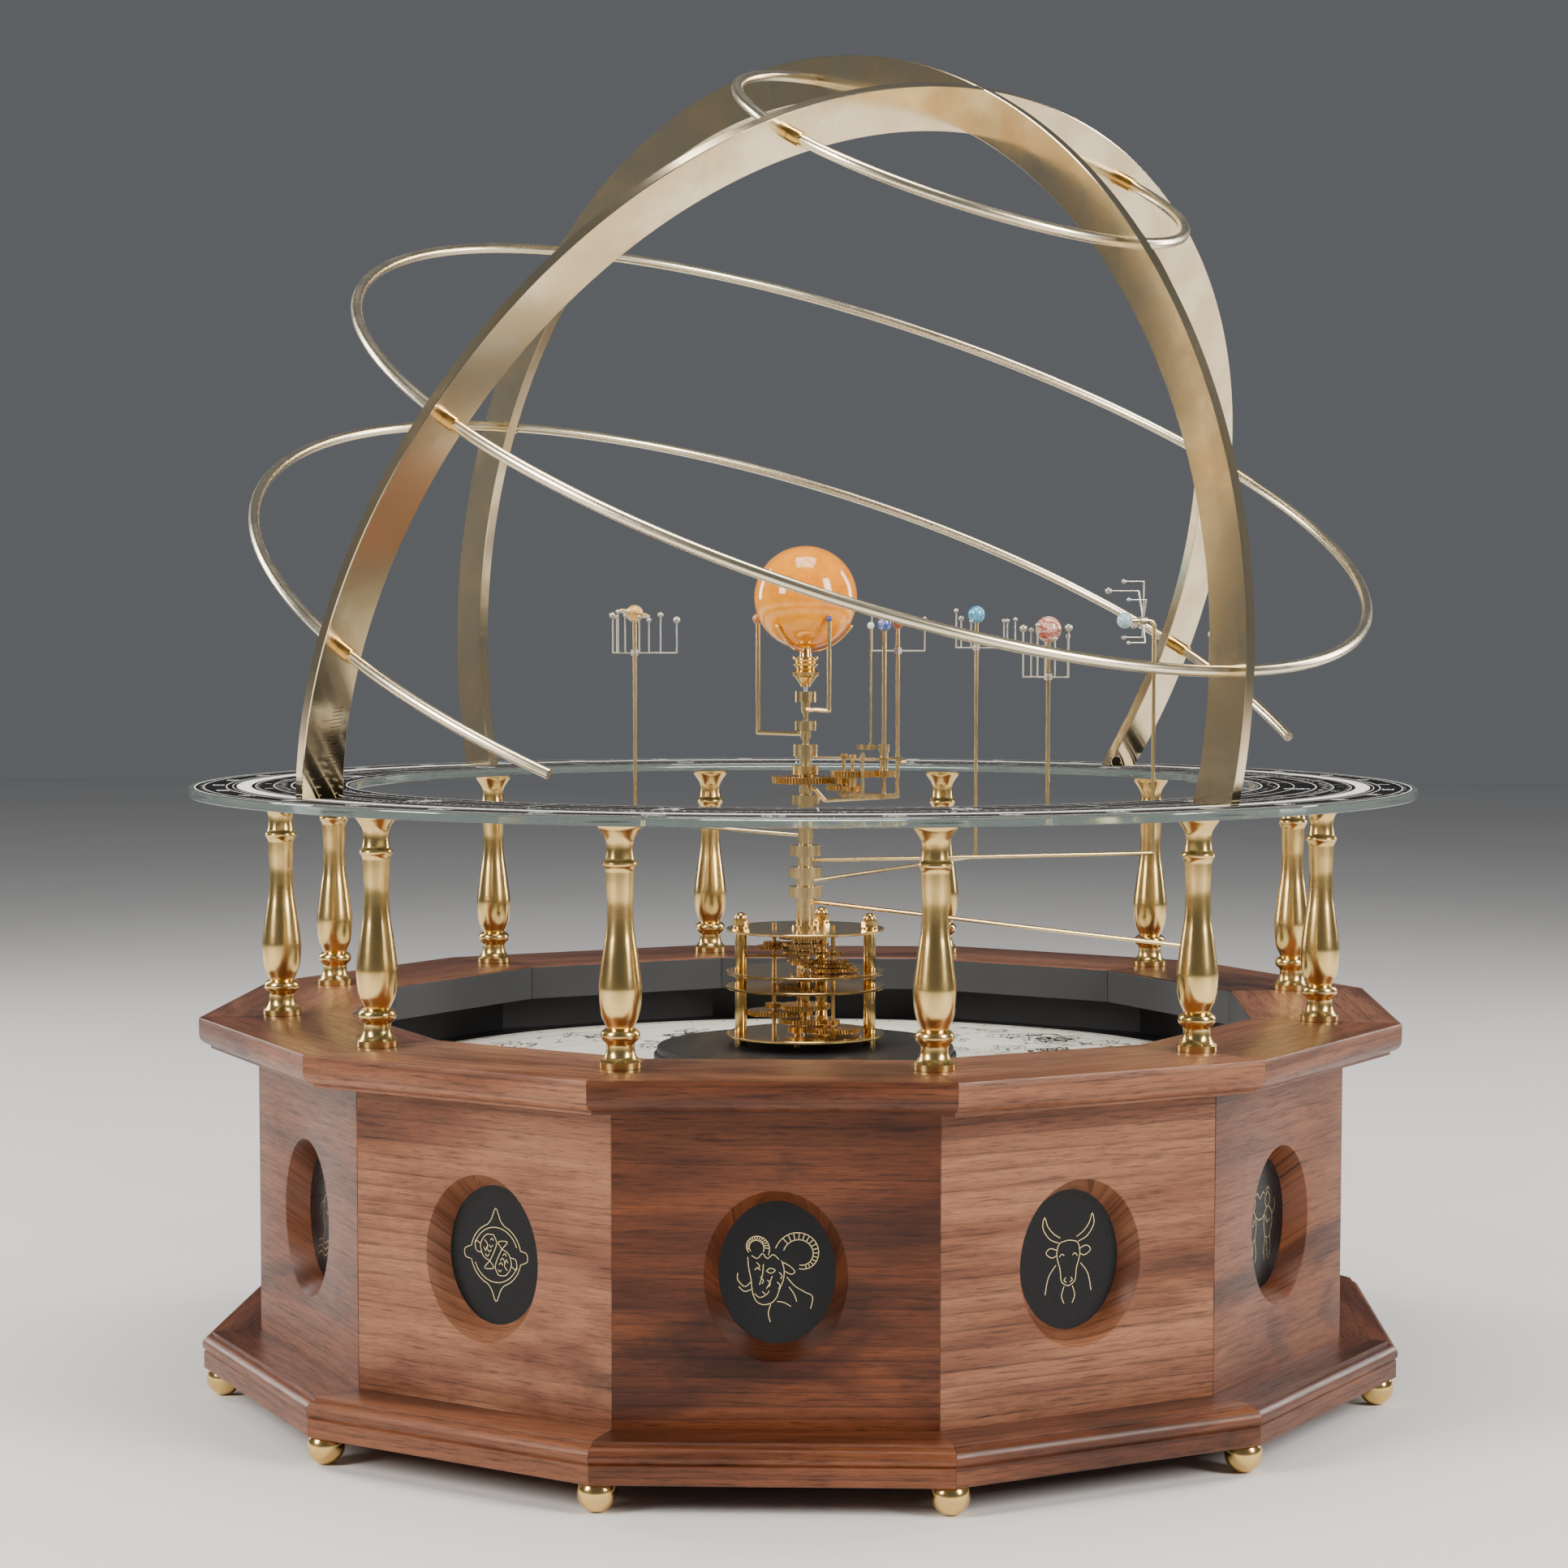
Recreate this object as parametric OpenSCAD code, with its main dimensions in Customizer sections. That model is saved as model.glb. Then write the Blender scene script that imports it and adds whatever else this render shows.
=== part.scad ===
// Grand orrery: nine planets on nested tubes above a geared base, inside an armillary
// sphere of two arcs and three hoops, on a twelve-sided walnut tub with a glass horizon ring.
// Millimetres. +Z up, front is -Y. The origin is on the floor under the middle of the sun.

/* [Tub] */
// Circumradius of the twelve side panels
panel_r = 263.2; // [255:0.1:270]
// Thickness of a side panel
panel_t = 18; // [14:1:22]
// Circumradius of the crown and plinth mouldings
moulding_r = 290.6; // [286:0.1:292]
// Circumradius of the opening inside the crown
crown_hole_r = 220; // [218:0.5:224]
// Height of the plinth's underside above the floor
plinth_z = 13; // [12:0.5:15]
// Height of the crown's top face
crown_z = 179.5; // [178:0.5:182]
// Width of a porthole at the panel's face
port_w = 59.5; // [55:0.5:62]
// Height of a porthole at the panel's face
port_h = 71.3; // [66:0.1:74]
// Radius of a ball foot
foot_r = 8.25; // [7.5:0.05:8.5]
// Height of the star chart's face
chart_z = 145; // [143:0.5:147]

/* [Columns and horizon] */
// Circumradius of the ring of columns
column_r = 252; // [250:0.5:254]
// Outer radius of the glass horizon ring
disc_r = 294.4; // [292:0.1:296]
// Inner radius of the glass horizon ring
disc_hole_r = 219; // [218:0.5:222]
// Thickness of the glass
disc_t = 4; // [3:0.5:5]
// Height of the glass ring's top face
disc_z = 286.8; // [285:0.1:288]

/* [Armillary sphere] */
// Height of the sphere's centre
sphere_z = 353.4; // [352:0.1:356]
// Tilt of the pole from the vertical
pole_tilt = 25.4; // [23:0.1:26]
// Direction in plan that the pole leans towards
pole_azimuth = -45; // [-50:1:-40]
// Middle radius of the two arcs, where the hoops cross them
sphere_r = 270; // [266:0.5:272]
// Radial width of an arc
arc_w = 21; // [18:0.5:22]
// Thickness of an arc
arc_t = 5.5; // [4:0.5:6]
// Diameter of a hoop's rod
hoop_d = 5; // [4:0.1:5.4]
// Declination of the tropic hoop
tropic_dec = 23.44; // [22:0.02:24]
// Declination of the arctic hoop
arctic_dec = 66.56; // [66:0.02:67]
// Declination of the hand-bent equator hoop
equator_dec = 0; // [-1:0.5:1]

/* [Planets] */
// Radius of the sun ball
sun_r = 25; // [23:0.5:25]
// Height of the sun's centre
sun_z = 376.6; // [376:0.1:378]
// Diameter of a planet's arm and rod
rod_d = 2; // [1.6:0.1:2.2]
// Distance from Earth's post to the Moon's bead
moon_r = 6.5; // [6:0.1:6.8]

/* [Gearbox] */
// Radius of the gearbox plates
plate_r = 38.7; // [38:0.1:40]
// Thickness of a gearbox plate
plate_t = 1.2; // [1:0.1:1.4]
// Gear module
gear_m = 0.5; // [0.5]
// Distance of each layshaft from the centre
shaft_r = 16; // [16]
// Radius of a layshaft
arbor_r = 1; // [0.9:0.05:1.1]

/* [Hidden] */
$fn = 48;
eps = 0.01;
run = 0.05;             // radial clearance of a running fit
SIDES = 12;
half = 180 / SIDES;

// Moulding heights
plinth_top = 30.3;
crown_bottom = 164.8;
deck_t = 9;
black_plinth_top = 158.4;
black_plinth_r = 74;

// Gearbox levels: undersides of the four plates
plate_z = [163.3, 186.6, 193.9, 214.6];
first_row_z = 196;
row_pitch = 1.86;
gear_t = 1.4;
pillar_r = 31.5;
pillar_angles = [184, -4, 78];
layshaft_angles = [-30, 165, 104];
input_z = 166;
reduction_z = [169.4, 172.8, 176.2, 189.4];
wheel_t = 2.2;
drive_angle = 190;

// Teeth: the input pair, the two reductions and the pairs that drive each planet's tube
input_teeth = [16, 54];
fast_pinion = 12;
slow_pinion = 13;
last_pinion = 16;
pair_sum = 64;

// Planets from Mercury to Pluto
MERCURY = 0;
VENUS = 1;
EARTH = 2;
MARS = 3;
JUPITER = 4;
SATURN = 5;
URANUS = 6;
NEPTUNE = 7;
PLUTO = 8;
tube_teeth = [15, 28, 36, 45, 30, 44, 26, 37, 43];
gear_row = [0, 1, 2, 4, 5, 6, 7, 8, 9];
drive_shaft = [0, 0, 0, 0, 1, 1, 2, 2, 2];
nest_index = [0, 1, 2, 4, 5, 6, 7, 8, 9];
orbit_r = [24.5, 29.5, 41, 64.5, 119, 148, 183.3, 199.5, 214.2];
rest_angle = [-60, 145.3, -20, 47.2, -10, 129.7, 19.8, 65.2, -28.2];
collar_z = [[325.9, 331.1], [312.1, 316.8], [299.8, 305.4], [284.6, 286.2], [276.1, 280.9],
            [264.7, 269.4], [251.2, 256.3], [240.5, 245.7], [231, 236.2]];
collar_r = [5.35, 5.5, 6.1, 3.2, 6.9, 7.3, 7.6, 7.9, 8.3];
barrel_z = [320.8, 308.1, 296, 281.3, 271, 257.6, 246.4, 236.6, 226.9];
barrel_r = [2.2, 2.6, 3, 3.2, 3.6, 3.8, 4.1, 4.4, 4.7];
arm_z = [322.4, 310.4, 299.2, 283.2, 273.7, 260.9, 248.8, 238.4, 229.2];
ball_z = [366.2, 366.3, 363.9, 364.3, 361.6, 369, 366, 369.2, 359.5];
ball_r = [1.5, 2.65, 3.4, 2.8, 6.2, 4.45, 4, 4.6, 1.6];
pluto_droop = 3.4;
mars_run_z = 277.6;
uranus_hub_in = 6;
uranus_ball_in = 16;

// Moons of each planet: [radius, direction at rest, bead radius, bead height over the planet]
mars_moons_list = [[13, 180, 1, 4.4], [13.4, 5, 1, 2.4]];
jupiter_moons_list = [[12, 180, 1.9, 0.4], [9, 155, 1.2, -0.4], [8.6, 232, 1.1, 2], [7.6, 100, 0.9, -2],
                      [8.6, 290, 1.1, -4.6], [11.5, 325, 1.9, 0.8], [11, 30, 1.2, -3.4]];
saturn_moons_list = [[11.4, 190, 1.8, -1], [11.2, 152, 1.2, -2], [10.6, 222, 1.2, 1], [11.4, 122, 1, -1],
                     [11.2, 288, 1, -1.6], [11, 318, 1.3, -3.4], [13.6, 14, 1.5, -0.6], [22, -2, 1.9, -3.2]];
neptune_moons_list = [[11, 184, 1.3, 2], [8.8, 160, 1.5, -2.2], [8.6, 250, 1, -3.6], [16.4, 24, 1.2, -3.4],
                      [17, -12, 1.2, -3.4], [21, 3, 1.2, -2.6]];
moon_hub_z = [0, 0, 0, 350.5, 338.8, 348.6, 0, 351.2, 0];
// Moons of Uranus stand on wires that leave its level axle:
// [radius from the axle, angle round the axle, run along the axle, bead radius]
uranus_moons_list = [[19.5, 88, 11, 1.2], [16, 112, 16.5, 1.7], [11, 70, 9.5, 1.1], [7.5, 205, 2.5, 1.2],
                     [8.6, 262, 10, 1.2], [11.5, 284, 9, 1.1]];
moon_wire_r = 0.4;

// The Earth's carriage, in a frame whose +X runs along its arm
fixed_teeth = 64;
carriage_pairs = [[64, 16], [32, 18], [40, 23]];
carriage_arbors = [[20, 0], [28.314, -9.334]];
stay_xy = [37, -17.8];
low_gear_z = 283.5;
fixed_gear_z = 286.6;
high_gear_z = 290.4;
low_gear_t = 2.5;
fixed_gear_t = 3.2;
fixed_collar_z = [290.7, 295.1];
carriage_plate_z = [281.2, 298.6];
carriage_plate_t = 1.2;
moon_link_z = 303.4;

// ---------- helpers ----------

function tube_outer(n) = 1.25 + 0.33 * n;
function tube_inner(n) = tube_outer(n) - 0.33 + run;
function row_z(i) = first_row_z + row_pitch * i;
function on_circle(r, a) = [r * cos(a), r * sin(a)];
function lay_teeth(p) = pair_sum - tube_teeth[p];
root_inner = tube_inner(10);
root_outer = root_inner + 0.5;

// Outline of a spur gear with straight-flanked teeth, one tooth pointing at angle phase
module gear_outline(teeth, phase) {
    pitch = gear_m * teeth / 2;
    tip = pitch + 0.85 * gear_m;
    root = pitch - 1.25 * gear_m;
    tip_half = 0.34 * gear_m / tip * 180 / PI;
    root_half = 1.1 * gear_m / root * 180 / PI;
    polygon([for (i = [0:teeth - 1])
        for (corner = [[root, -root_half], [tip, -tip_half], [tip, tip_half], [root, root_half]])
            on_circle(corner[0], phase + i * 360 / teeth + corner[1])]);
}

module gear(teeth, phase, z, t, bore) {
    translate([0, 0, z])
        difference() {
            linear_extrude(t) gear_outline(teeth, phase);
            translate([0, 0, -1]) cylinder(r = bore, h = t + 2);
        }
}

// Phase of a gear that meets a tooth at direction a from its partner
function mesh_phase(a, teeth) = a + 180 + 180 / teeth;

module ring(r_in, r_out, z0, z1) {
    translate([0, 0, z0])
        difference() {
            cylinder(r = r_out, h = z1 - z0);
            translate([0, 0, -1]) cylinder(r = r_in, h = z1 - z0 + 2);
        }
}

// A twelve-sided plate with flat faces to the front
module dozen_plate(r, z0, z1) {
    translate([0, 0, z0])
        rotate(half)
            linear_extrude(z1 - z0) circle(r = r, $fn = SIDES);
}

// The slice of plan that one side fills, a hair short of its neighbours at the mitres
module mitre_wedge(reach) {
    gap = 0.2;
    width = (reach - gap) * tan(half);
    polygon([[gap, 0], [reach, -width], [reach, width]]);
}

// One mitred length of moulding for side i, from a profile of (distance from the axis, height)
module moulding_side(i, profile, reach) {
    rotate(-90 + i * 360 / SIDES)
        intersection() {
            translate([0, reach, 0])
                rotate([90, 0, 0])
                    linear_extrude(2 * reach) polygon(profile);
            linear_extrude(400) mitre_wedge(reach);
        }
}

module each_side() {
    for (i = [0:SIDES - 1]) rotate(i * 360 / SIDES) children();
}

// ---------- tub ----------

panel_face = panel_r * cos(half);
panel_back = panel_face - panel_t;
moulding_face = moulding_r * cos(half);
crown_hole = crown_hole_r * cos(half);
port_z = 94.5;
port_depth = 10;
medallion_t = 3;

module oval(w, h) {
    polygon([for (a = [0:12:348]) [w / 2 * cos(a), h / 2 * sin(a)]]);
}

// Size of the tapered porthole at a depth behind the panel's face
function port_size(depth) = [port_w, port_h] + ([49, 60] - [port_w, port_h]) * depth / port_depth;

module panel() {
    over = 0.5;
    mouth = port_size(-over);
    throat = port_size(port_depth + over);
    rebate = port_size(port_depth) + [4, 4];
    difference() {
        moulding_side(0, [[panel_back, plinth_top], [panel_face, plinth_top],
                          [panel_face, crown_bottom], [panel_back, crown_bottom]], 300);
        translate([0, -panel_face - over, port_z])
            rotate([-90, 0, 0])
                linear_extrude(port_depth + 2 * over, slices = 1,
                               scale = [throat[0] / mouth[0], throat[1] / mouth[1]])
                    oval(mouth[0], mouth[1]);
        translate([0, -panel_face + port_depth, port_z])
            rotate([-90, 0, 0]) linear_extrude(panel_t) oval(rebate[0], rebate[1]);
    }
}

module side_panels() {
    color("saddlebrown") each_side() panel();
}

module zodiac_medallions() {
    medallion = port_size(port_depth) + [3.6, 3.6];
    color("dimgray")
        each_side()
            translate([0, -panel_face + port_depth, port_z])
                rotate([-90, 0, 0]) linear_extrude(medallion_t) oval(medallion[0], medallion[1]);
}

// Crown board: square edge, rounded under, on a thin fillet
function crown_profile() = concat(
    [[crown_hole, crown_z], [moulding_face, crown_z], [moulding_face, 171.6]],
    [for (a = [15:15:75]) [moulding_face - 5.2 + 5.2 * cos(a) * 1, 171.6 - 5.2 * sin(a)]],
    [[moulding_face - 5.2, 166.4], [moulding_face - 5.2, crown_bottom], [crown_hole, crown_bottom]]);

// Plinth board: square edge, ogee bead and fillet on top
function plinth_profile() = concat(
    [[panel_back, plinth_z], [moulding_face - 0.7, plinth_z], [moulding_face - 0.7, 21.2],
     [moulding_face - 1.3, 21.6], [moulding_face, 22.4]],
    [for (a = [15:15:75]) [moulding_face - 4.6 + 4.6 * cos(a), 24.2 + 4.6 * sin(a)]],
    [[moulding_face - 4.6, 28.8], [moulding_face - 4.6, plinth_top], [panel_back, plinth_top]]);

module crown_moulding() {
    color("sienna")
        difference() {
            for (i = [0:SIDES - 1]) moulding_side(i, crown_profile(), 320);
            stud_holes(stud_r);
        }
}

module plinth_moulding() {
    color("sienna")
        difference() {
            for (i = [0:SIDES - 1]) moulding_side(i, plinth_profile(), 320);
            feet();
        }
}

// Each ball has a small flat ground on its underside
module feet() {
    foot_ring_r = 280.5;
    flat = 0.15;
    intersection() {
        at_corners(foot_ring_r) translate([0, 0, foot_r - flat]) sphere(r = foot_r);
        translate([-400, -400, 0]) cube([800, 800, 40]);
    }
}

module ball_feet() {
    color("goldenrod") feet();
}

module inner_lining() {
    lining_t = 1.6;
    lining = [[crown_hole - lining_t, 162.4], [crown_hole, 162.4],
              [crown_hole, crown_z - 0.4], [crown_hole - lining_t, crown_z - 0.4]];
    color("dimgray") for (i = [0:SIDES - 1]) moulding_side(i, lining, 300);
}

module motor_hole(r) {
    translate([drive_xy()[0], drive_xy()[1], 0]) cylinder(r = r, h = 400);
}

module deck_board() {
    color("black")
        difference() {
            dozen_plate(panel_back / cos(half), chart_z - 1 - deck_t, chart_z - 1);
            motor_hole(3.2);
        }
}

module star_chart() {
    color("ivory")
        difference() {
            translate([0, 0, chart_z - 1]) cylinder(r = 217, h = 1);
            motor_hole(3.2);
        }
}

// ---------- columns and horizon ----------

stud_r = 2;
stud_len = 24;

module at_corners(r) {
    for (i = [0:SIDES - 1])
        rotate(half + i * 360 / SIDES)
            translate([r, 0, 0]) children();
}

module stud_holes(r) {
    at_corners(column_r)
        translate([0, 0, crown_z - stud_len / 2]) cylinder(r = r, h = stud_len);
}

module column_studs() {
    color("silver") stud_holes(stud_r);
}

// Column outline as (radius, height over the crown), turned from 19 mm bar
function column_outline() = let (top = disc_z - disc_t - crown_z) concat(
    [[0, 0], [8.9, 0], [8.9, 3.2], [7.6, 4], [6.7, 5.2], [6.1, 6.8], [5.9, 8.8], [6, 10.4], [6.8, 11.4]],
    [for (a = [-60:30:60]) [6.55 + 1.7 * cos(a), 13.9 + 2.4 * sin(a)]],
    [[5.6, 17.3], [6.65, 19.2], [7.3, 20.6], [7.9, 22], [8.4, 24.6], [8.75, 26.5], [9, 29], [9.1, 32.4],
     [8.95, 35.4], [8.4, 40], [7.4, 47.5], [6.7, 52.2], [6.1, 56], [5.65, 60.6], [5.45, 65], [5.4, 69],
     [5.6, 73], [6, 82.8]],
    [for (a = [-60:30:60]) [6 + 1.3 * cos(a), 85.2 + 1.45 * sin(a)]],
    [[6.1, 87.6], [5.75, 90], [5.65, 92.6], [6, 95.3], [7.65, 98.1], [9, 100], [9.3, 101], [9.3, top],
     [0, top]]);

module columns() {
    color("goldenrod")
        difference() {
            at_corners(column_r)
                translate([0, 0, crown_z]) rotate_extrude() polygon(column_outline());
            stud_holes(stud_r);
        }
}

module horizon_ring() {
    color("lightgray") ring(disc_hole_r, disc_r, disc_z - disc_t, disc_z, $fn = 144);
}

// ---------- armillary sphere ----------

// Local frame of the sphere: +Z to the pole, +Y to the equinox, -X to the solstice
module sphere_frame() {
    translate([0, 0, sphere_z])
        rotate([0, 0, pole_azimuth])
            rotate([0, pole_tilt, 0]) children();
}

module above_horizon(z = disc_z) {
    translate([-400, -400, z]) cube([800, 800, 500]);
}

module arc_plate() {
    rotate([90, 0, 0])
        difference() {
            translate([0, 0, -arc_t / 2]) cylinder(r = sphere_r + arc_w / 2, h = arc_t, $fn = 144);
            translate([0, 0, -arc_t]) cylinder(r = sphere_r - arc_w / 2, h = 2 * arc_t, $fn = 144);
        }
}

// A hoop's rod at a declination, over part of a turn from angle a0
module hoop_rod(dec, r, a0, sweep) {
    translate([0, 0, sphere_r * sin(dec)])
        rotate(a0)
            rotate_extrude(angle = sweep, $fn = 144)
                translate([sphere_r * cos(dec), 0]) circle(r = r, $fn = 24);
}

// Holes where the hoops pass through a plate that lies in the local XZ plane
module hoop_holes(turns) {
    for (dec = [equator_dec, tropic_dec, arctic_dec])
        for (a = turns)
            rotate(a)
                translate([sphere_r * cos(dec), 0, sphere_r * sin(dec)])
                    rotate([90, 0, 0])
                        cylinder(r = hoop_d / 2 + run, h = 3 * arc_t, center = true);
}

module lap_notch(up) {
    translate([-arc_t / 2, -arc_t / 2, sphere_r + (up ? 0 : -arc_w)]) cube([arc_t, arc_t, arc_w]);
}

module solstice_arc() {
    color("gold")
        intersection() {
            sphere_frame()
                difference() {
                    arc_plate();
                    hoop_holes([0, 180]);
                    lap_notch(false);
                }
            above_horizon();
        }
}

module equinox_arc() {
    color("gold")
        intersection() {
            sphere_frame()
                difference() {
                    rotate(90) arc_plate();
                    hoop_holes([90, 270]);
                    lap_notch(true);
                }
            above_horizon();
        }
}

module hoop(dec) {
    color("khaki") sphere_frame() hoop_rod(dec, hoop_d / 2, 0, 360);
}

// The equator hoop is open towards the pole, where it would pass below the horizon
module equator_hoop() {
    color("khaki") sphere_frame() hoop_rod(equator_dec, hoop_d / 2, 66, 230.5);
}

module tropic_hoop() {
    hoop(tropic_dec);
}

module arctic_hoop() {
    hoop(arctic_dec);
}

// A short sleeve on each hoop beside each arc
module hoop_ferrules() {
    sleeve_len = 7;
    sleeve_r = 3.4;
    color("darkgoldenrod")
        sphere_frame()
            for (dec = [equator_dec, tropic_dec, arctic_dec])
                for (a = [0:90:270])
                    if (!(dec == equator_dec && a == 0))
                        ferrule(dec, a, sleeve_len, sleeve_r);
}

module ferrule(dec, a, len, r) {
    hoop_here = sphere_r * cos(dec);
    start = (arc_t / 2 + 0.03) / (hoop_here - r) * 180 / PI;
    side = (a == 180 || a == 90) ? -1 : 1;
    sweep = len / hoop_here * 180 / PI;
    translate([0, 0, sphere_r * sin(dec)])
        rotate(side > 0 ? a + start : a - start - sweep)
            rotate_extrude(angle = sweep, $fn = 144)
                translate([hoop_here, 0])
                    difference() {
                        circle(r = r, $fn = 24);
                        circle(r = hoop_d / 2 + 0.01, $fn = 24);
                    }
}

// ---------- gearbox ----------

function layshaft_xy(s) = on_circle(shaft_r, layshaft_angles[s]);
function drive_xy() = layshaft_xy(0)
    + on_circle(gear_m * (input_teeth[0] + input_teeth[1]) / 2, drive_angle);

module at_pillars() {
    for (a = pillar_angles)
        translate([pillar_r * cos(a), pillar_r * sin(a), 0]) children();
}

module mechanism_plinth() {
    color("black")
        difference() {
            union() {
                translate([0, 0, chart_z]) cylinder(r = black_plinth_r, h = 10.4);
                translate([0, 0, chart_z + 10.4]) cylinder(r = black_plinth_r - 1.5, h = 3);
            }
            motor_hole(3.2);
        }
}

pillar_rod_r = 1.2;

module gearbox_plate(i) {
    translate([0, 0, plate_z[i]])
        difference() {
            cylinder(r = plate_r, h = plate_t);
            translate([0, 0, -1]) {
                at_pillars() cylinder(r = pillar_rod_r, h = 4);
                for (s = [0:2])
                    translate(layshaft_xy(s)) cylinder(r = arbor_r + run, h = 4);
                cylinder(r = plate_bores()[i], h = 4);
                if (i == 0) translate(drive_xy()) cylinder(r = 1.6, h = 4);
            }
        }
}

// Centre hole of each plate: centre shaft, idler sleeve, centre shaft, Pluto's tube
function plate_bores() = [centre_r, idler_sleeve_r + run, centre_r, root_inner];

module gearbox_plates() {
    color("darkgoldenrod") for (i = [0:3]) gearbox_plate(i);
}

module gearbox_pillars() {
    spacer_r = 2.9;
    bottoms = [black_plinth_top, plate_z[0] + plate_t, plate_z[1] + plate_t, plate_z[2] + plate_t];
    color("goldenrod")
        at_pillars() {
            translate([0, 0, black_plinth_top]) cylinder(r = pillar_rod_r, h = 220.4 - black_plinth_top);
            for (i = [0:3]) ring(pillar_rod_r, spacer_r, bottoms[i], plate_z[i]);
        }
}

module acorn_nuts() {
    nut_z = plate_z[3] + plate_t;
    color("gold")
        at_pillars()
            difference() {
                union() {
                    translate([0, 0, nut_z]) cylinder(r = 3.9, h = 0.8);
                    translate([0, 0, nut_z + 0.8]) cylinder(r = 4, h = 2.6, $fn = 6);
                    translate([0, 0, nut_z + 3.4]) cylinder(r = 3.3, h = 1);
                    translate([0, 0, nut_z + 4.4]) sphere(r = 3.3);
                }
                translate([0, 0, nut_z - 1]) cylinder(r = pillar_rod_r, h = 220.4 - nut_z + 1);
            }
}

centre_r = tube_inner(0) - run;
idler_sleeve_r = 2.2;
sun_cup_z = 333.4;

module centre_shaft() {
    color("silver")
        translate([0, 0, plate_z[0]]) cylinder(r = centre_r, h = sun_cup_z + 4 - plate_z[0]);
}

module root_tube() {
    z0 = plate_z[3] + plate_t;
    color("goldenrod") {
        difference() {
            union() {
                ring(root_inner, root_outer, z0, 226.6);
                ring(root_inner, root_outer + 2.2, z0, z0 + 1.4);
            }
        }
    }
}

// The fixed gear that turns the Moon: its tube is held by a cock from the left pillar
module moon_sun_gear() {
    cock_z = row_z(3);
    n = 3;
    color("goldenrod") {
        union() {
            ring(tube_inner(n), tube_outer(n), cock_z, fixed_collar_z[1]);
            gear(fixed_teeth, rest_angle[EARTH], fixed_gear_z, fixed_gear_t, tube_outer(n) - eps);
            ring(tube_outer(n) - eps, 3.6, fixed_gear_z + fixed_gear_t - eps, fixed_collar_z[0] + eps);
            ring(tube_outer(n) - eps, 6.5, fixed_collar_z[0], fixed_collar_z[1]);
            difference() {
                rotate(pillar_angles[0])
                    translate([0, -1.9, cock_z]) cube([pillar_r - 2.95, 3.8, 1.2]);
                translate([0, 0, cock_z - 1]) cylinder(r = tube_outer(n) - eps, h = 4);
            }
        }
    }
}

module sun_cup() {
    z = sun_cup_z;
    color("gold")
        difference() {
            translate([0, 0, z])
                rotate_extrude()
                    polygon([[0, 0], [2.4, 0], [3, 1.6], [5.2, 4.6], [6.6, 5.4], [6.7, 7], [5.4, 8.2],
                             [4.4, 9], [5.6, 10.2], [6.2, 11], [5, 12.2], [5.6, 13.2], [6.6, 13.8],
                             [6.6, 14.6], [3, 14.6], [2.6, 18.8], [0, 18.8]]);
            translate([0, 0, z - 1]) cylinder(r = centre_r, h = 5);
            translate([0, 0, sun_z]) sphere(r = sun_r);
        }
    color("goldenrod")
        for (a = [-5, 115, 235]) rotate(a) sun_prong();
}

// A prong curves up the ball from the cup and ends in a small claw
module sun_prong() {
    bend = sun_r + 1.1;
    translate([0, 0, sun_z])
        rotate([90, 0, 0])
            rotate([0, 0, 275])
                rotate_extrude(angle = 53, $fn = 144) translate([bend, 0]) circle(r = 0.7, $fn = 16);
    claw = on_circle(bend, 275 + 53);
    translate([claw[0], 0, sun_z + claw[1]]) sphere(r = 1.05, $fn = 20);
}

module sun_ball() {
    color("orange") translate([0, 0, sun_z]) sphere(r = sun_r, $fn = 96);
}

module drive_motor() {
    top = chart_z - 1 - deck_t;
    color("silver")
        translate([drive_xy()[0], drive_xy()[1], 0]) {
            translate([0, 0, top - 26]) cylinder(r = 12, h = 24);
            difference() {
                translate([0, 0, top - 2]) cylinder(r = 15, h = 2);
                translate([0, 0, top - 3]) cylinder(r = 3, h = 4);
            }
        }
}

module drive_pinion() {
    color("goldenrod")
        translate([drive_xy()[0], drive_xy()[1], 0]) {
            translate([0, 0, chart_z - 1 - deck_t - 1.6]) cylinder(r = 1.5, h = 35.4);
            gear(input_teeth[0], mesh_phase(drive_angle, input_teeth[0]), input_z - 0.2, wheel_t + 0.6, 1.5 - eps);
        }
}

module on_layshaft(s) {
    translate([layshaft_xy(s)[0], layshaft_xy(s)[1], 0]) children();
}

// A gear on layshaft s that meets a gear of the centre line
module lay_gear(s, teeth, z, t) {
    gear(teeth, mesh_phase(layshaft_angles[s], teeth), z, t, arbor_r - eps);
}

module layshaft(s) {
    on_layshaft(s) {
        translate([0, 0, plate_z[0] + 0.1])
            cylinder(r = arbor_r, h = plate_z[3] + plate_t + 2 - plate_z[0]);
        for (p = [0:PLUTO])
            if (drive_shaft[p] == s) lay_gear(s, lay_teeth(p), row_z(gear_row[p]), gear_t);
        children();
    }
}

module fast_layshaft() {
    color("goldenrod")
        layshaft(0) {
            gear(input_teeth[1], drive_angle, input_z, wheel_t, arbor_r - eps);
            lay_gear(0, fast_pinion, reduction_z[0], wheel_t);
        }
}

module middle_layshaft() {
    color("goldenrod")
        layshaft(1) {
            lay_gear(1, pair_sum - slow_pinion, reduction_z[1], wheel_t);
            lay_gear(1, last_pinion, reduction_z[2], wheel_t);
        }
}

module slow_layshaft() {
    color("goldenrod")
        layshaft(2)
            lay_gear(2, pair_sum - last_pinion, reduction_z[3], wheel_t);
}

// An idler runs on the centre shaft: it takes turns from shaft a and gives them to shaft b
module idler(a, b, wheel, pinion, wheel_z, pinion_z) {
    bore = tube_inner(0);
    gear(wheel, layshaft_angles[a], wheel_z, wheel_t, bore);
    gear(pinion, layshaft_angles[b], pinion_z, wheel_t, bore);
    ring(bore, idler_sleeve_r, wheel_z, pinion_z + wheel_t);
}

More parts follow.
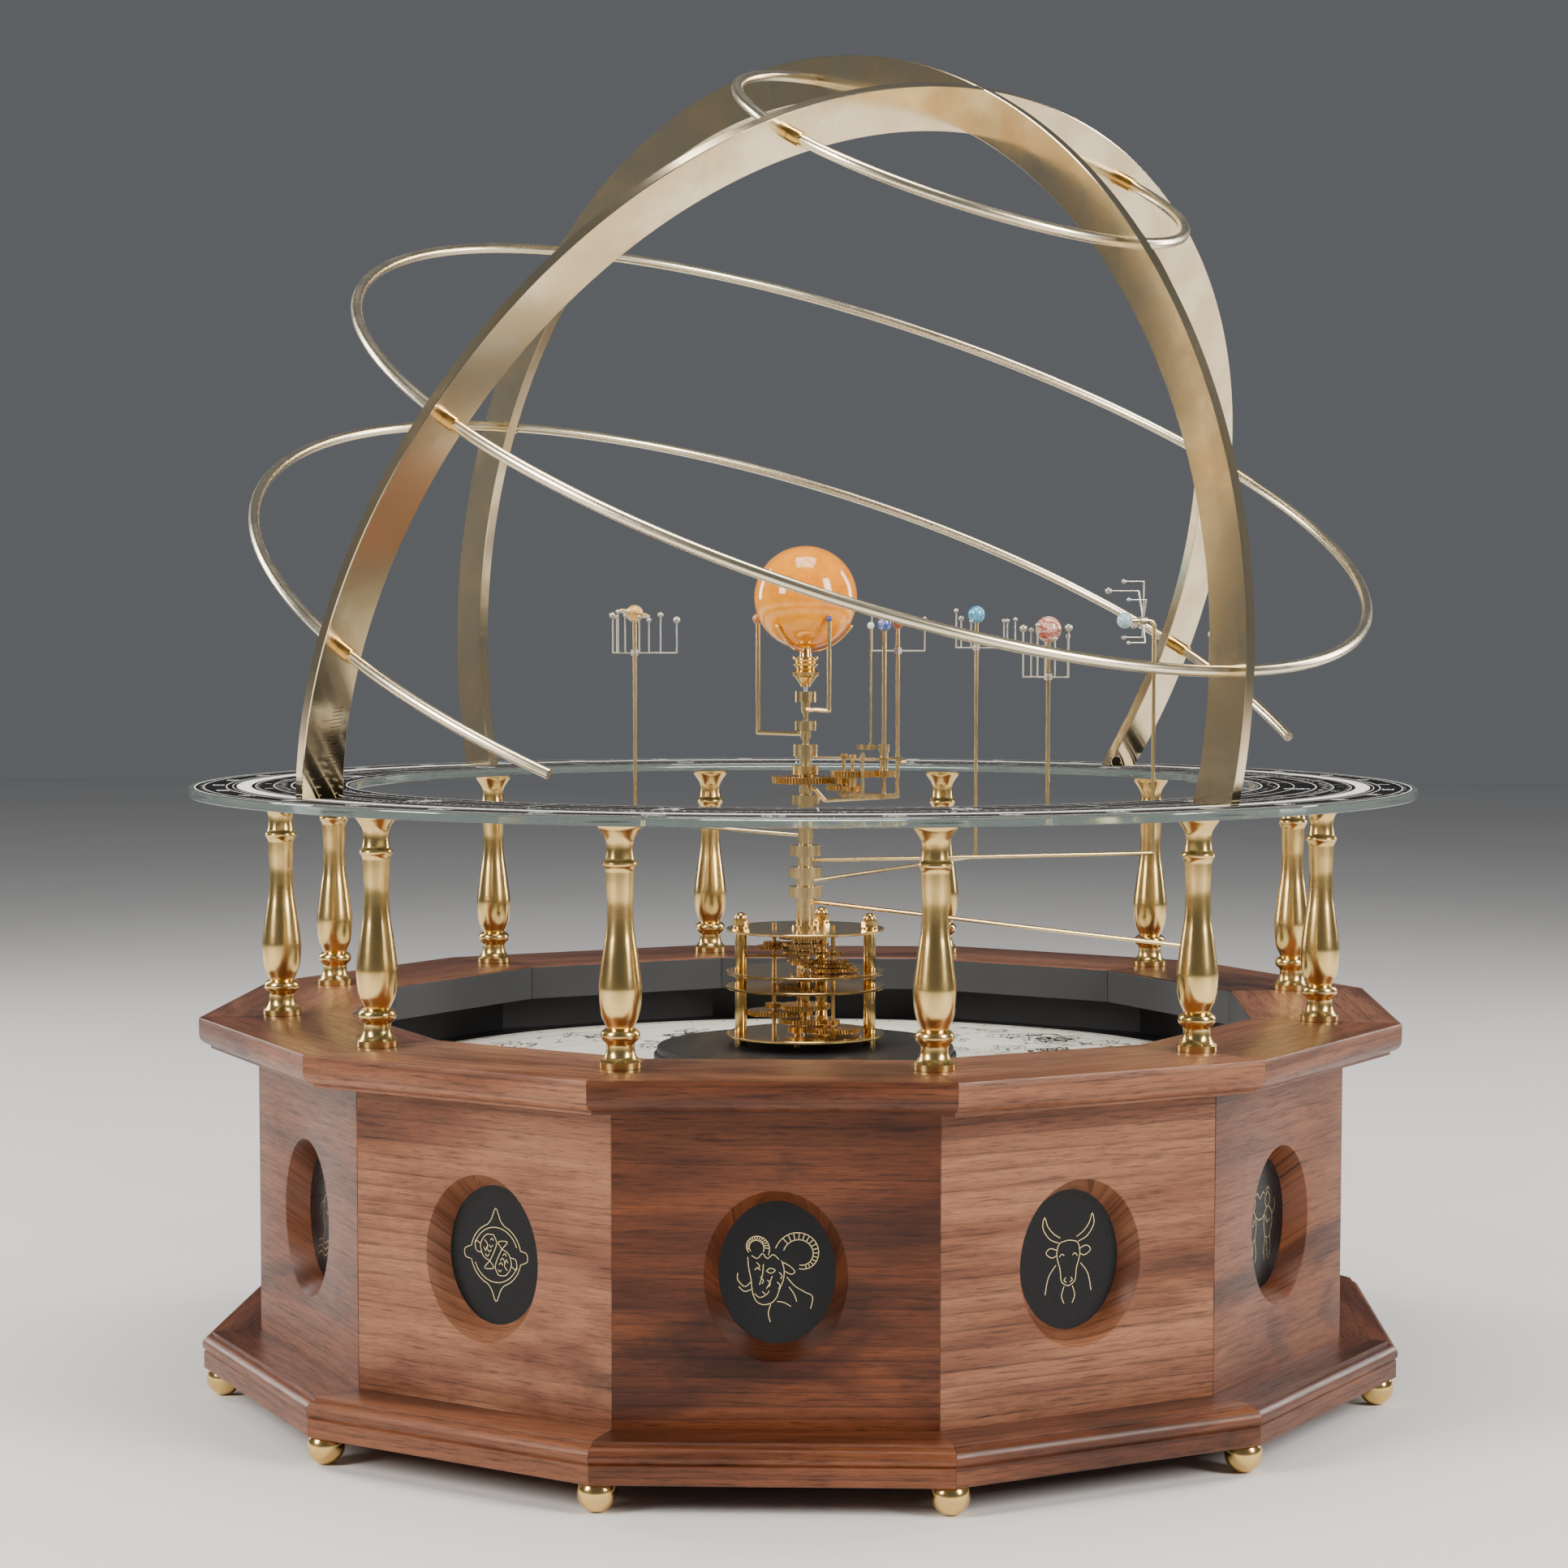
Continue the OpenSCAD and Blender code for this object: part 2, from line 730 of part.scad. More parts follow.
module fast_idler() {
    color("goldenrod")
        union() idler(0, 1, pair_sum - fast_pinion, slow_pinion, reduction_z[0], reduction_z[1]);
}

module slow_idler() {
    color("goldenrod")
        union() idler(1, 2, pair_sum - last_pinion, last_pinion, reduction_z[2], reduction_z[3]);
}

// ---------- planets ----------

// Tube of planet p with its gear at the bottom and its hub at the top
module planet_tube(p) {
    n = nest_index[p];
    bore = tube_inner(n);
    outer = tube_outer(n);
    z = row_z(gear_row[p]);
    union() {
        ring(bore, outer, z, collar_z[p][1]);
        gear(tube_teeth[p], layshaft_angles[drive_shaft[p]], z, gear_t, outer - eps);
        ring(outer - eps, barrel_r[p], barrel_z[p], collar_z[p][0] + eps);
        ring(outer - eps, collar_r[p], collar_z[p][0], collar_z[p][1]);
    }
}

// Level arm and upright rod of planet p, with a ball at the bend
module planet_wire(p, droop, top) {
    r = rod_d / 2;
    bore = tube_outer(nest_index[p]) - eps;
    end_z = arm_z[p] - orbit_r[p] * tan(droop);
    rotate(rest_angle[p]) {
        difference() {
            translate([0, 0, arm_z[p]])
                rotate([0, 90 + droop, 0]) cylinder(r = r, h = orbit_r[p] / cos(droop), $fn = 24);
            translate([0, 0, arm_z[p] - 4]) cylinder(r = bore, h = 8);
        }
        translate([orbit_r[p], 0, end_z]) {
            sphere(r = r, $fn = 24);
            cylinder(r = r, h = top - end_z, $fn = 24);
        }
    }
}

// A whole planet arm: tube, hub, arm and rod in one piece
module planet_arm(p, droop = 0) {
    color("goldenrod")
        union() {
            planet_tube(p);
            planet_wire(p, droop, ball_z[p] - ball_r[p] + 0.6);
        }
}

module at_planet(p, z) {
    rotate(rest_angle[p]) translate([orbit_r[p], 0, z]) children();
}

module planet_ball(p, tint) {
    color(tint)
        difference() {
            at_planet(p, ball_z[p]) sphere(r = ball_r[p]);
            at_planet(p, ball_z[p] - ball_r[p] - 1) cylinder(r = rod_d / 2, h = 1.6, $fn = 24);
        }
}

// Moons on bent wires from a sleeve that turns on the planet's rod
module moon_cage(p, moons) {
    sleeve_r = 1.9;
    hub_z = moon_hub_z[p];
    color("silver")
        at_planet(p, 0)
            rotate(-rest_angle[p])
                union() {
                    ring(rod_d / 2 + run, sleeve_r, hub_z - 1.4, hub_z + 1.6);
                    for (m = moons) moon_wire(m, hub_z, ball_z[p] + m[3], sleeve_r);
                }
}

module moon_wire(m, z0, z1, from_r) {
    rotate(m[1]) {
        translate([from_r - 0.3, 0, z0])
            rotate([0, 90, 0]) cylinder(r = moon_wire_r, h = m[0] - from_r + 0.3, $fn = 16);
        translate([m[0], 0, z0]) {
            sphere(r = moon_wire_r, $fn = 16);
            cylinder(r = moon_wire_r, h = z1 - z0, $fn = 16);
        }
        translate([m[0], 0, z1]) sphere(r = m[2], $fn = 24);
    }
}

module mercury_arm() {
    planet_arm(MERCURY);
}

module mercury_ball() {
    planet_ball(MERCURY, "midnightblue");
}

module venus_arm() {
    planet_arm(VENUS);
}

module venus_ball() {
    planet_ball(VENUS, "chocolate");
}

// Mars's arm drops from its hub to run under the Earth's carriage
module mars_arm() {
    r = rod_d / 2;
    bend_x = [6.5, 13.2];
    drop = arm_z[MARS] - mars_run_z;
    length = norm([bend_x[1] - bend_x[0], drop]);
    slope = atan2(drop, bend_x[1] - bend_x[0]);
    color("goldenrod")
        union() {
            planet_tube(MARS);
            rotate(rest_angle[MARS]) {
                difference() {
                    translate([0, 0, arm_z[MARS]]) rotate([0, 90, 0]) cylinder(r = r, h = bend_x[0], $fn = 24);
                    cylinder(r = tube_outer(nest_index[MARS]) - eps, h = 400);
                }
                translate([bend_x[0], 0, arm_z[MARS]]) sphere(r = r, $fn = 24);
                translate([bend_x[0], 0, arm_z[MARS]])
                    rotate([0, 90 + slope, 0]) cylinder(r = r, h = length, $fn = 24);
                translate([bend_x[1], 0, mars_run_z]) sphere(r = r, $fn = 24);
                translate([bend_x[1], 0, mars_run_z])
                    rotate([0, 90, 0]) cylinder(r = r, h = orbit_r[MARS] - bend_x[1], $fn = 24);
                translate([orbit_r[MARS], 0, mars_run_z]) sphere(r = r, $fn = 24);
                translate([orbit_r[MARS], 0, mars_run_z])
                    cylinder(r = r, h = ball_z[MARS] - ball_r[MARS] + 0.6 - mars_run_z, $fn = 24);
            }
        }
}

module mars_ball() {
    planet_ball(MARS, "indianred");
}

module mars_moons() {
    moon_cage(MARS, mars_moons_list);
}

module jupiter_arm() {
    planet_arm(JUPITER);
}

module jupiter_ball() {
    planet_ball(JUPITER, "firebrick");
}

module jupiter_moons() {
    moon_cage(JUPITER, jupiter_moons_list);
}

module saturn_arm() {
    planet_arm(SATURN);
}

// Saturn's ring is turned with the ball and leans towards the front
module saturn_ball() {
    planet_ball(SATURN, "tan");
    color("rosybrown")
        at_planet(SATURN, ball_z[SATURN])
            rotate([14, 0, 0])
                difference() {
                    ring(ball_r[SATURN] - 0.3, 8.2, -0.45, 0.45);
                    sphere(r = ball_r[SATURN]);
                }
}

module saturn_moons() {
    moon_cage(SATURN, saturn_moons_list);
}

module neptune_arm() {
    planet_arm(NEPTUNE);
}

module neptune_ball() {
    planet_ball(NEPTUNE, "steelblue");
}

module neptune_moons() {
    moon_cage(NEPTUNE, neptune_moons_list);
}

module pluto_arm() {
    planet_arm(PLUTO, pluto_droop);
}

module pluto_ball() {
    planet_ball(PLUTO, "lightgray");
}

// Uranus lies on its side: the rod bends inwards into a level axle that carries ball and moons
uranus_bend = 3;

module uranus_arm() {
    r = rod_d / 2;
    z = ball_z[URANUS];
    color("goldenrod")
        union() {
            planet_tube(URANUS);
            planet_wire(URANUS, 0, z - uranus_bend);
            at_planet(URANUS, z - uranus_bend)
                translate([-uranus_bend, 0, 0])
                    rotate([90, 0, 0])
                        rotate_extrude(angle = 90) translate([uranus_bend, 0]) circle(r = r, $fn = 24);
            at_planet(URANUS, z)
                translate([-uranus_bend + eps, 0, 0])
                    rotate([0, -90, 0])
                        cylinder(r = r, h = uranus_ball_in - uranus_bend - ball_r[URANUS] + 0.6, $fn = 24);
        }
}

module uranus_ball() {
    color("lightblue")
        at_planet(URANUS, ball_z[URANUS])
            difference() {
                translate([-uranus_ball_in, 0, 0]) sphere(r = ball_r[URANUS]);
                translate([-uranus_ball_in + ball_r[URANUS] - 0.6, 0, 0])
                    rotate([0, 90, 0]) cylinder(r = rod_d / 2, h = 3, $fn = 24);
            }
}

module uranus_moons() {
    sleeve_r = 2;
    color("silver")
        at_planet(URANUS, ball_z[URANUS])
            translate([-uranus_hub_in, 0, 0])
                rotate([0, -90, 0])
                    union() {
                        ring(rod_d / 2 + run, sleeve_r, -1.6, 1.6);
                        for (m = uranus_moons_list)
                            rotate(m[1] - 90) uranus_moon_wire(m, sleeve_r);
                    }
}

module uranus_moon_wire(m, from_r) {
    translate([from_r - 0.3, 0, 0])
        rotate([0, 90, 0]) cylinder(r = moon_wire_r, h = m[0] - from_r + 0.3, $fn = 16);
    translate([m[0], 0, 0]) {
        sphere(r = moon_wire_r, $fn = 16);
        cylinder(r = moon_wire_r, h = m[2], $fn = 16);
        translate([0, 0, m[2]]) sphere(r = m[3], $fn = 24);
    }
}

// ---------- the Earth's carriage ----------

pivot_r = 0.8;
moon_sleeve_r = 2;
moon_rest_turn = 200;

// Points of the carriage's frame: both arbors, then the Earth's post
function post_xy(i) = i == 2 ? [orbit_r[EARTH], 0] : carriage_arbors[i];
function post_dir(i, j) = let (d = post_xy(j) - post_xy(i)) atan2(d[1], d[0]);

// A straight bar of a plate between two points
module plate_bar(a, b, w) {
    d = b - a;
    translate(a)
        rotate(atan2(d[1], d[0]))
            translate([0, -w / 2]) square([norm(d), w]);
}

module carriage_outline() {
    plate_bar(post_xy(0), post_xy(2) + [6, 0], 6.4);
    plate_bar(post_xy(0), post_xy(1), 4);
    plate_bar(post_xy(1), stay_xy, 3.6);
    plate_bar(post_xy(2), stay_xy, 3.6);
    translate(post_xy(0)) circle(r = 3.2);
    translate(post_xy(1)) circle(r = 2.8);
    translate(stay_xy) circle(r = 1.9);
}

module arbor_holes() {
    for (i = [0:1]) translate(post_xy(i)) circle(r = pivot_r + run);
}

// The top plate hangs from the Earth's hub and curls down past the Moon's pinion
module carriage_top_plate() {
    curl_x = orbit_r[EARTH] + 4.4;
    curl_r = 3.6;
    z = carriage_plate_z[1];
    t = carriage_plate_t;
    difference() {
        translate([0, 0, z])
            linear_extrude(t)
                difference() {
                    union() {
                        plate_bar([0, 0], [curl_x, 0], 6.4);
                        carriage_outline();
                        circle(r = 5.2);
                    }
                    arbor_holes();
                    translate(post_xy(2)) circle(r = moon_sleeve_r + run);
                    translate([curl_x, -20]) square([20, 40]);
                }
        cylinder(r = tube_outer(EARTH) - eps, h = 400);
    }
    translate([curl_x - eps, 3.2, z - curl_r + t])
        rotate([90, 0, 0])
            rotate_extrude(angle = 90)
                translate([curl_r - t, -6.4]) square([t, 6.4]);
}

module carriage_low_plate() {
    translate([0, 0, carriage_plate_z[0]])
        linear_extrude(carriage_plate_t)
            difference() {
                carriage_outline();
                arbor_holes();
            }
}

module earth_carriage() {
    post = post_xy(2);
    low = carriage_plate_z[0];
    high = carriage_plate_z[1] + carriage_plate_t;
    color("goldenrod")
        union() {
            planet_tube(EARTH);
            rotate(rest_angle[EARTH]) {
                carriage_top_plate();
                carriage_low_plate();
                translate([stay_xy[0], stay_xy[1], low - 0.8]) cylinder(r = 0.8, h = high - low + 3.6);
                translate([stay_xy[0], stay_xy[1], high]) cylinder(r = 1.4, h = 1.4);
                translate([post[0], post[1], low - 1.6])
                    cylinder(r = rod_d / 2, h = ball_z[EARTH] - ball_r[EARTH] + 2.2 - low);
                translate([post[0], post[1], low - 1.5]) cylinder(r = 2.8, h = 1.5);
            }
        }
}

module earth_ball() {
    planet_ball(EARTH, "royalblue");
}

module on_carriage(i) {
    rotate(rest_angle[EARTH]) translate([post_xy(i)[0], post_xy(i)[1], 0]) children();
}

// An arbor of the Moon's train, with a nut under the low plate and one over the top plate
module carriage_arbor() {
    z0 = carriage_plate_z[0] - 1;
    z1 = carriage_plate_z[1] + carriage_plate_t + 1.4;
    translate([0, 0, z0]) cylinder(r = pivot_r, h = z1 - z0);
    translate([0, 0, z0]) cylinder(r = 1.7, h = 0.9);
    translate([0, 0, z1 - 1.3]) cylinder(r = 1.7, h = 1.3);
}

module moon_first_gear() {
    bore = pivot_r - eps;
    color("goldenrod")
        on_carriage(0)
            union() {
                carriage_arbor();
                gear(carriage_pairs[0][1], mesh_phase(0, carriage_pairs[0][1]), fixed_gear_z, fixed_gear_t, bore);
                gear(carriage_pairs[1][0], post_dir(0, 1), low_gear_z, low_gear_t, bore);
                ring(bore, 2, low_gear_z + low_gear_t - eps, fixed_gear_z + eps);
            }
}

module moon_second_gear() {
    bore = pivot_r - eps;
    teeth = carriage_pairs[1][1];
    color("goldenrod")
        on_carriage(1)
            union() {
                carriage_arbor();
                gear(teeth, mesh_phase(post_dir(0, 1), teeth), low_gear_z, low_gear_t, bore);
                gear(carriage_pairs[2][0], post_dir(1, 2), high_gear_z, fixed_gear_t, bore);
                ring(bore, 2, low_gear_z + low_gear_t - eps, high_gear_z + eps);
            }
}

// The Moon's sleeve turns on the Earth's post and carries a thin rod on a drum-ended link
module moon_arm() {
    teeth = carriage_pairs[2][1];
    bore = rod_d / 2 + run;
    drum_x = moon_r + 2.6;
    top = moon_link_z + 2.6;
    color("goldenrod")
        union() {
            on_carriage(2) {
                gear(teeth, mesh_phase(post_dir(1, 2), teeth), high_gear_z, fixed_gear_t, bore);
                ring(bore, moon_sleeve_r, high_gear_z, moon_link_z);
                ring(bore, 2.6, moon_link_z - 1, top);
            }
            on_carriage(2)
                rotate(moon_rest_turn) {
                    translate([2.2, -1, moon_link_z + 0.6]) cube([drum_x - 3, 2, 1.4]);
                    translate([drum_x, 0, moon_link_z]) cylinder(r = 4.2, h = 2.6);
                    translate([moon_r, 0, moon_link_z]) cylinder(r = 0.5, h = moon_z - moon_bead_r - moon_link_z + 0.4, $fn = 16);
                }
        }
}

moon_z = 363.1;
moon_bead_r = 1.75;

module moon_ball() {
    color("white")
        on_carriage(2)
            rotate(moon_rest_turn)
                translate([moon_r, 0, 0])
                    difference() {
                        translate([0, 0, moon_z]) sphere(r = moon_bead_r);
                        translate([0, 0, moon_z - moon_bead_r - 1])
                            cylinder(r = 0.5, h = 1.4, $fn = 16);
                    }
}

side_panels();
crown_moulding();
plinth_moulding();
deck_board();
inner_lining();
zodiac_medallions();
ball_feet();
columns();
column_studs();
horizon_ring();
solstice_arc();
equinox_arc();
equator_hoop();
tropic_hoop();
arctic_hoop();
hoop_ferrules();
star_chart();
mechanism_plinth();
gearbox_plates();
gearbox_pillars();
acorn_nuts();
root_tube();
centre_shaft();
moon_sun_gear();
sun_cup();
sun_ball();
drive_motor();
drive_pinion();
fast_layshaft();
middle_layshaft();
slow_layshaft();
fast_idler();
slow_idler();
mercury_arm();
mercury_ball();
venus_arm();
venus_ball();
earth_carriage();
earth_ball();
moon_first_gear();
moon_second_gear();
moon_arm();
moon_ball();
mars_arm();
mars_ball();
mars_moons();
jupiter_arm();
jupiter_ball();
jupiter_moons();
saturn_arm();
saturn_ball();
saturn_moons();
uranus_arm();
uranus_ball();
uranus_moons();
neptune_arm();
neptune_ball();
neptune_moons();
pluto_arm();
pluto_ball();
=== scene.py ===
import math
import random

import bmesh
import bpy
from mathutils import Matrix, Vector


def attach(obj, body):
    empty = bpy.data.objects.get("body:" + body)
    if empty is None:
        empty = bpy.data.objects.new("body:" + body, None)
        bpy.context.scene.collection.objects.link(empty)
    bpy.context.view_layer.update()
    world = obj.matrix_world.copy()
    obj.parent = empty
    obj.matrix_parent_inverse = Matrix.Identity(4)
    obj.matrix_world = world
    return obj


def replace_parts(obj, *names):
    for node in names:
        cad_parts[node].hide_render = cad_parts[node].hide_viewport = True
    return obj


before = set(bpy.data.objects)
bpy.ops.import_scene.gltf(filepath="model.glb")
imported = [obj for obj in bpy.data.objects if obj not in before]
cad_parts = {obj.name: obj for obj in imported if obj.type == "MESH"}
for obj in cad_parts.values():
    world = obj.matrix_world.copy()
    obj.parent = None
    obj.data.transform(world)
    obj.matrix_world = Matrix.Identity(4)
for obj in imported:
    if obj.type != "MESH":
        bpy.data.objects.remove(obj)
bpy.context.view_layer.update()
MM = 0.001
TAU = 2 * math.pi

# ---------------------------------------------------------------- camera

def look(position, pitch, roll, yaw):
    """A camera matrix from a place in mm and three angles in degrees."""
    p, r, w = (math.radians(a) for a in (pitch, roll, yaw))
    right = Vector((math.cos(r), -math.sin(r) * math.sin(p), -math.sin(r) * math.cos(p)))
    up = Vector((math.sin(r), math.cos(r) * math.sin(p), math.cos(r) * math.cos(p)))
    ahead = Vector((0, math.cos(p), -math.sin(p)))
    turn = Matrix.Rotation(-w, 3, "Z")
    right, up, ahead = turn @ right, turn @ up, turn @ ahead
    m = Matrix.Identity(4)
    for i, column in enumerate((right, up, -ahead)):
        for j in range(3):
            m[j][i] = column[j]
    for j in range(3):
        m[j][3] = position[j] * MM
    return m


camera = bpy.data.objects.new("camera", bpy.data.cameras.new("camera"))
bpy.context.collection.objects.link(camera)
camera.data.sensor_width = 36
camera.data.lens = 75.22
camera.data.shift_x = -0.0592
camera.data.shift_y = 0.0333
camera.data.clip_start = 0.05
camera.data.clip_end = 50
camera.matrix_world = look((75.72, -1591.95, 363.85), 3.705, -0.139, -1.473)
bpy.context.scene.camera = camera

# ---------------------------------------------------------------- materials

class Nodes:
    """A short way to write a node tree."""

    def __init__(self, name):
        self.mat = bpy.data.materials.new(name)
        self.mat.use_nodes = True
        self.tree = self.mat.node_tree
        self.bsdf = self.tree.nodes["Principled BSDF"]
        self.out = self.tree.nodes["Material Output"]

    def add(self, kind, values=(), **settings):
        node = self.tree.nodes.new(kind)
        for key, value in settings.items():
            setattr(node, key, value)
        for key, value in dict(values).items():
            self.put(node.inputs[key], value)
        return node

    def put(self, socket, value):
        if isinstance(value, bpy.types.NodeSocket):
            self.tree.links.new(value, socket)
        elif isinstance(value, (tuple, list)) and len(value) == 3 and socket.type == "RGBA":
            socket.default_value = (*value, 1)
        else:
            socket.default_value = value

    def set(self, **values):
        for key, value in values.items():
            self.put(self.bsdf.inputs[key.replace("_", " ")], value)

    def coords(self, scale, attribute=None):
        if attribute:
            source = self.add("ShaderNodeAttribute", attribute_name=attribute).outputs["Vector"]
        else:
            source = self.add("ShaderNodeTexCoord").outputs["Object"]
        return self.add("ShaderNodeMapping", {"Vector": source, "Scale": scale}).outputs[0]

    def noise(self, vector, scale, detail=4.0, rough=0.5, distortion=0.0):
        node = self.add("ShaderNodeTexNoise", {"Vector": vector, "Scale": scale, "Detail": detail,
                                               "Roughness": rough, "Distortion": distortion})
        return node.outputs["Fac"]

    def ramp(self, fac, stops):
        node = self.add("ShaderNodeValToRGB", {"Fac": fac})
        ramp = node.color_ramp
        while len(ramp.elements) < len(stops):
            ramp.elements.new(0.5)
        for element, (place, colour) in zip(ramp.elements, stops):
            element.position = place
            element.color = (colour, colour, colour, 1) if isinstance(colour, float) else (*colour, 1)
        return node.outputs["Color"]

    def mix(self, fac, a, b, how="MIX"):
        node = self.add("ShaderNodeMix", data_type="RGBA", blend_type=how)
        self.put(node.inputs[0], fac)
        self.put(node.inputs[6], a)
        self.put(node.inputs[7], b)
        return node.outputs[2]

    def maths(self, how, a, b=0.0):
        node = self.add("ShaderNodeMath", operation=how)
        self.put(node.inputs[0], a)
        self.put(node.inputs[1], b)
        return node.outputs[0]

    def bump(self, height, strength, distance):
        return self.add("ShaderNodeBump", {"Height": height, "Strength": strength,
                                           "Distance": distance}).outputs[0]


def walnut(name, gloss=0.36):
    """Figured walnut. The grain attribute runs in metres: along the board, across it, and a seed.
    The tone attribute takes each board from deep red-brown to a pale, pinkish brown; the per-side tones carry
    painted light and shade as well as the boards' own colour."""
    n = Nodes(name)
    tone = n.add("ShaderNodeAttribute", attribute_name="tone").outputs["Fac"]
    broad = n.noise(n.coords((3.4, 22, 1), "grain"), 1.0, 5, 0.55, 0.9)
    deep = n.ramp(broad, [(0.28, (0.018, 0.0042, 0.0015)), (0.43, (0.066, 0.0150, 0.0042)),
                          (0.56, (0.140, 0.036, 0.0090)),
                          (0.72, (0.080, 0.019, 0.0055))])
    pale = n.ramp(broad, [(0.28, (0.085, 0.028, 0.014)), (0.42, (0.230, 0.084, 0.040)),
                          (0.57, (0.400, 0.180, 0.098)),
                          (0.72, (0.270, 0.104, 0.052))])
    figure = n.mix(tone, deep, pale)
    lines = n.add("ShaderNodeTexWave", {"Vector": n.coords((1.6, 46, 0.4), "grain"), "Scale": 1.0,
                                        "Distortion": 9.0,
                                        "Detail": 3.0, "Detail Scale": 0.5, "Detail Roughness": 0.6},
                  wave_type="BANDS", bands_direction="Y", wave_profile="SAW").outputs["Fac"]
    veins = n.ramp(lines, [(0.0, 0.45), (0.10, 0.86), (0.55, 1.06), (0.90, 1.12), (1.0, 0.62)])
    warp = n.noise(n.coords((5, 15, 1), "grain"), 1.0, 3, 0.5, 0.4)
    colour = n.mix(n.ramp(warp, [(0.38, 0.25), (0.62, 1.0)]), figure, n.mix(1.0, figure, veins, "MULTIPLY"))
    fleck = n.noise(n.coords((46, 760, 1), "grain"), 1.0, 3, 0.65)
    colour = n.mix(1.0, colour, n.ramp(fleck, [(0.30, 0.42), (0.44, 0.92), (0.60, 1.03), (0.78, 1.25)]),
                   "MULTIPLY")
    pores = n.noise(n.coords((120, 2600, 1), "grain"), 1.0, 2, 0.6)
    streak = n.ramp(pores, [(0.36, 0.30), (0.46, 1.0), (1.0, 1.0)])
    colour = n.mix(0.55, colour, n.mix(1.0, colour, streak, "MULTIPLY"))
    stain = n.noise(n.coords((11, 24, 1), "grain"), 1.0, 4, 0.6, 0.6)
    colour = n.mix(0.8, colour, n.mix(1.0, colour, n.ramp(stain, [(0.30, 0.42), (0.42, 1.0), (0.7, 1.1)]),
                                      "MULTIPLY"))
    n.set(Base_Color=colour, Roughness=n.ramp(fleck, [(0.3, gloss + 0.12), (0.65, gloss)]),
          Specular_IOR_Level=0.28, Coat_Weight=0.10, Coat_Roughness=0.24,
          Normal=n.bump(n.maths("ADD", streak, n.maths("MULTIPLY", fleck, 0.6)), 0.12, 0.0004))
    return n.mat


def brass(name, colour, rough, turned=0.0, mottle=0.0, tone=(0.55, 0.28, 0.09), marks=0.02):
    """Polished brass with faint handling marks; turned adds lathe lines, mottle adds tarnish clouds."""
    n = Nodes(name)
    cloud = n.noise(n.coords((1, 1, 1)), 38, 5, 0.6, 0.3)
    fine = n.noise(n.coords((1, 1, 1)), 420, 3, 0.6)
    amount = n.ramp(cloud, [(0.40, 0.0), (0.62, max(0.02, mottle))])
    base = n.mix(amount, colour, tone)
    scuff = n.noise(n.coords((1, 1, 0.15)), 900, 2, 0.7)
    smear = n.ramp(cloud, [(0.25, rough * 0.72), (0.75, rough * 1.35)])
    height = n.maths("MULTIPLY", fine, 0.5)
    if turned:
        rings = n.noise(n.coords((0.02, 0.02, 1)), 5200, 2, 0.8)
        height = n.maths("ADD", height, n.maths("MULTIPLY", rings, turned))
    n.set(Base_Color=n.mix(n.ramp(scuff, [(0.35, 0.06), (0.55, 0.0)]), base, (0.98, 0.90, 0.70)),
          Metallic=1.0, Roughness=n.maths("ADD", smear, n.maths("MULTIPLY", scuff, 0.05)),
          Normal=n.bump(height, 0.07 if turned else marks, 0.0002))
    return n.mat


def steel(name, colour, rough):
    n = Nodes(name)
    drawn = n.noise(n.coords((1, 1, 0.04)), 1500, 2, 0.7)
    tint = n.noise(n.coords((1, 1, 1)), 60, 3)
    n.set(Base_Color=n.mix(n.ramp(tint, [(0.3, 0.0), (0.7, 0.25)]), colour, (0.50, 0.47, 0.42)), Metallic=1.0,
          Roughness=n.ramp(drawn, [(0.3, rough), (0.7, rough + 0.14)]), Normal=n.bump(drawn, 0.05, 0.0001))
    return n.mat


def stone(name, stops, scale, rough=0.12, glow=0.0, stretch=(1, 1, 1), distortion=1.2, coat=0.6):
    """Polished stone with a veined colour ramp."""
    n = Nodes(name)
    veins = n.noise(n.coords(stretch), scale, 6, 0.62, distortion)
    tint = n.ramp(veins, stops)
    speck = n.noise(n.coords((1, 1, 1)), scale * 9, 2, 0.6)
    tint = n.mix(0.35, tint, n.mix(1.0, tint, n.ramp(speck, [(0.3, 0.6), (0.6, 1.1)]), "MULTIPLY"))
    n.set(Base_Color=tint, Roughness=n.ramp(speck, [(0.3, rough), (0.8, rough + 0.08)]), Coat_Weight=coat,
          Coat_Roughness=0.05, Specular_IOR_Level=0.55)
    if glow:
        n.set(Subsurface_Weight=glow, Subsurface_Radius=(0.012, 0.005, 0.002), Subsurface_Scale=0.6)
    return n.mat


def board(name, colour, rough, scale=260, strength=0.12, shine=0.5):
    """A painted or printed board with a fine tooth."""
    n = Nodes(name)
    tooth = n.noise(n.coords((1, 1, 1)), scale * 6, 3, 0.7)
    cloud = n.noise(n.coords((1, 1, 1)), scale * 0.08, 3)
    shade = n.mix(n.ramp(cloud, [(0.3, 0.0), (0.75, 0.28)]), colour,
                  tuple(min(1, c * 1.35 + 0.01) for c in colour))
    n.set(Base_Color=shade, Roughness=n.ramp(tooth, [(0.3, rough), (0.7, rough + 0.12)]),
          Specular_IOR_Level=shine, Normal=n.bump(tooth, strength, 0.0003))
    return n.mat


def glass(name):
    """Clear plate with a faint green edge, light enough to see the brass through it."""
    n = Nodes(name)
    smudge = n.noise(n.coords((1, 1, 1)), 26, 4, 0.6)
    n.set(Base_Color=n.mix(n.ramp(smudge, [(0.4, 0.0), (0.8, 0.3)]), (0.80, 0.93, 0.87), (0.70, 0.86, 0.80)),
          Roughness=n.ramp(smudge, [(0.35, 0.02), (0.75, 0.09)]), Transmission_Weight=0.92, IOR=1.47)
    return n.mat


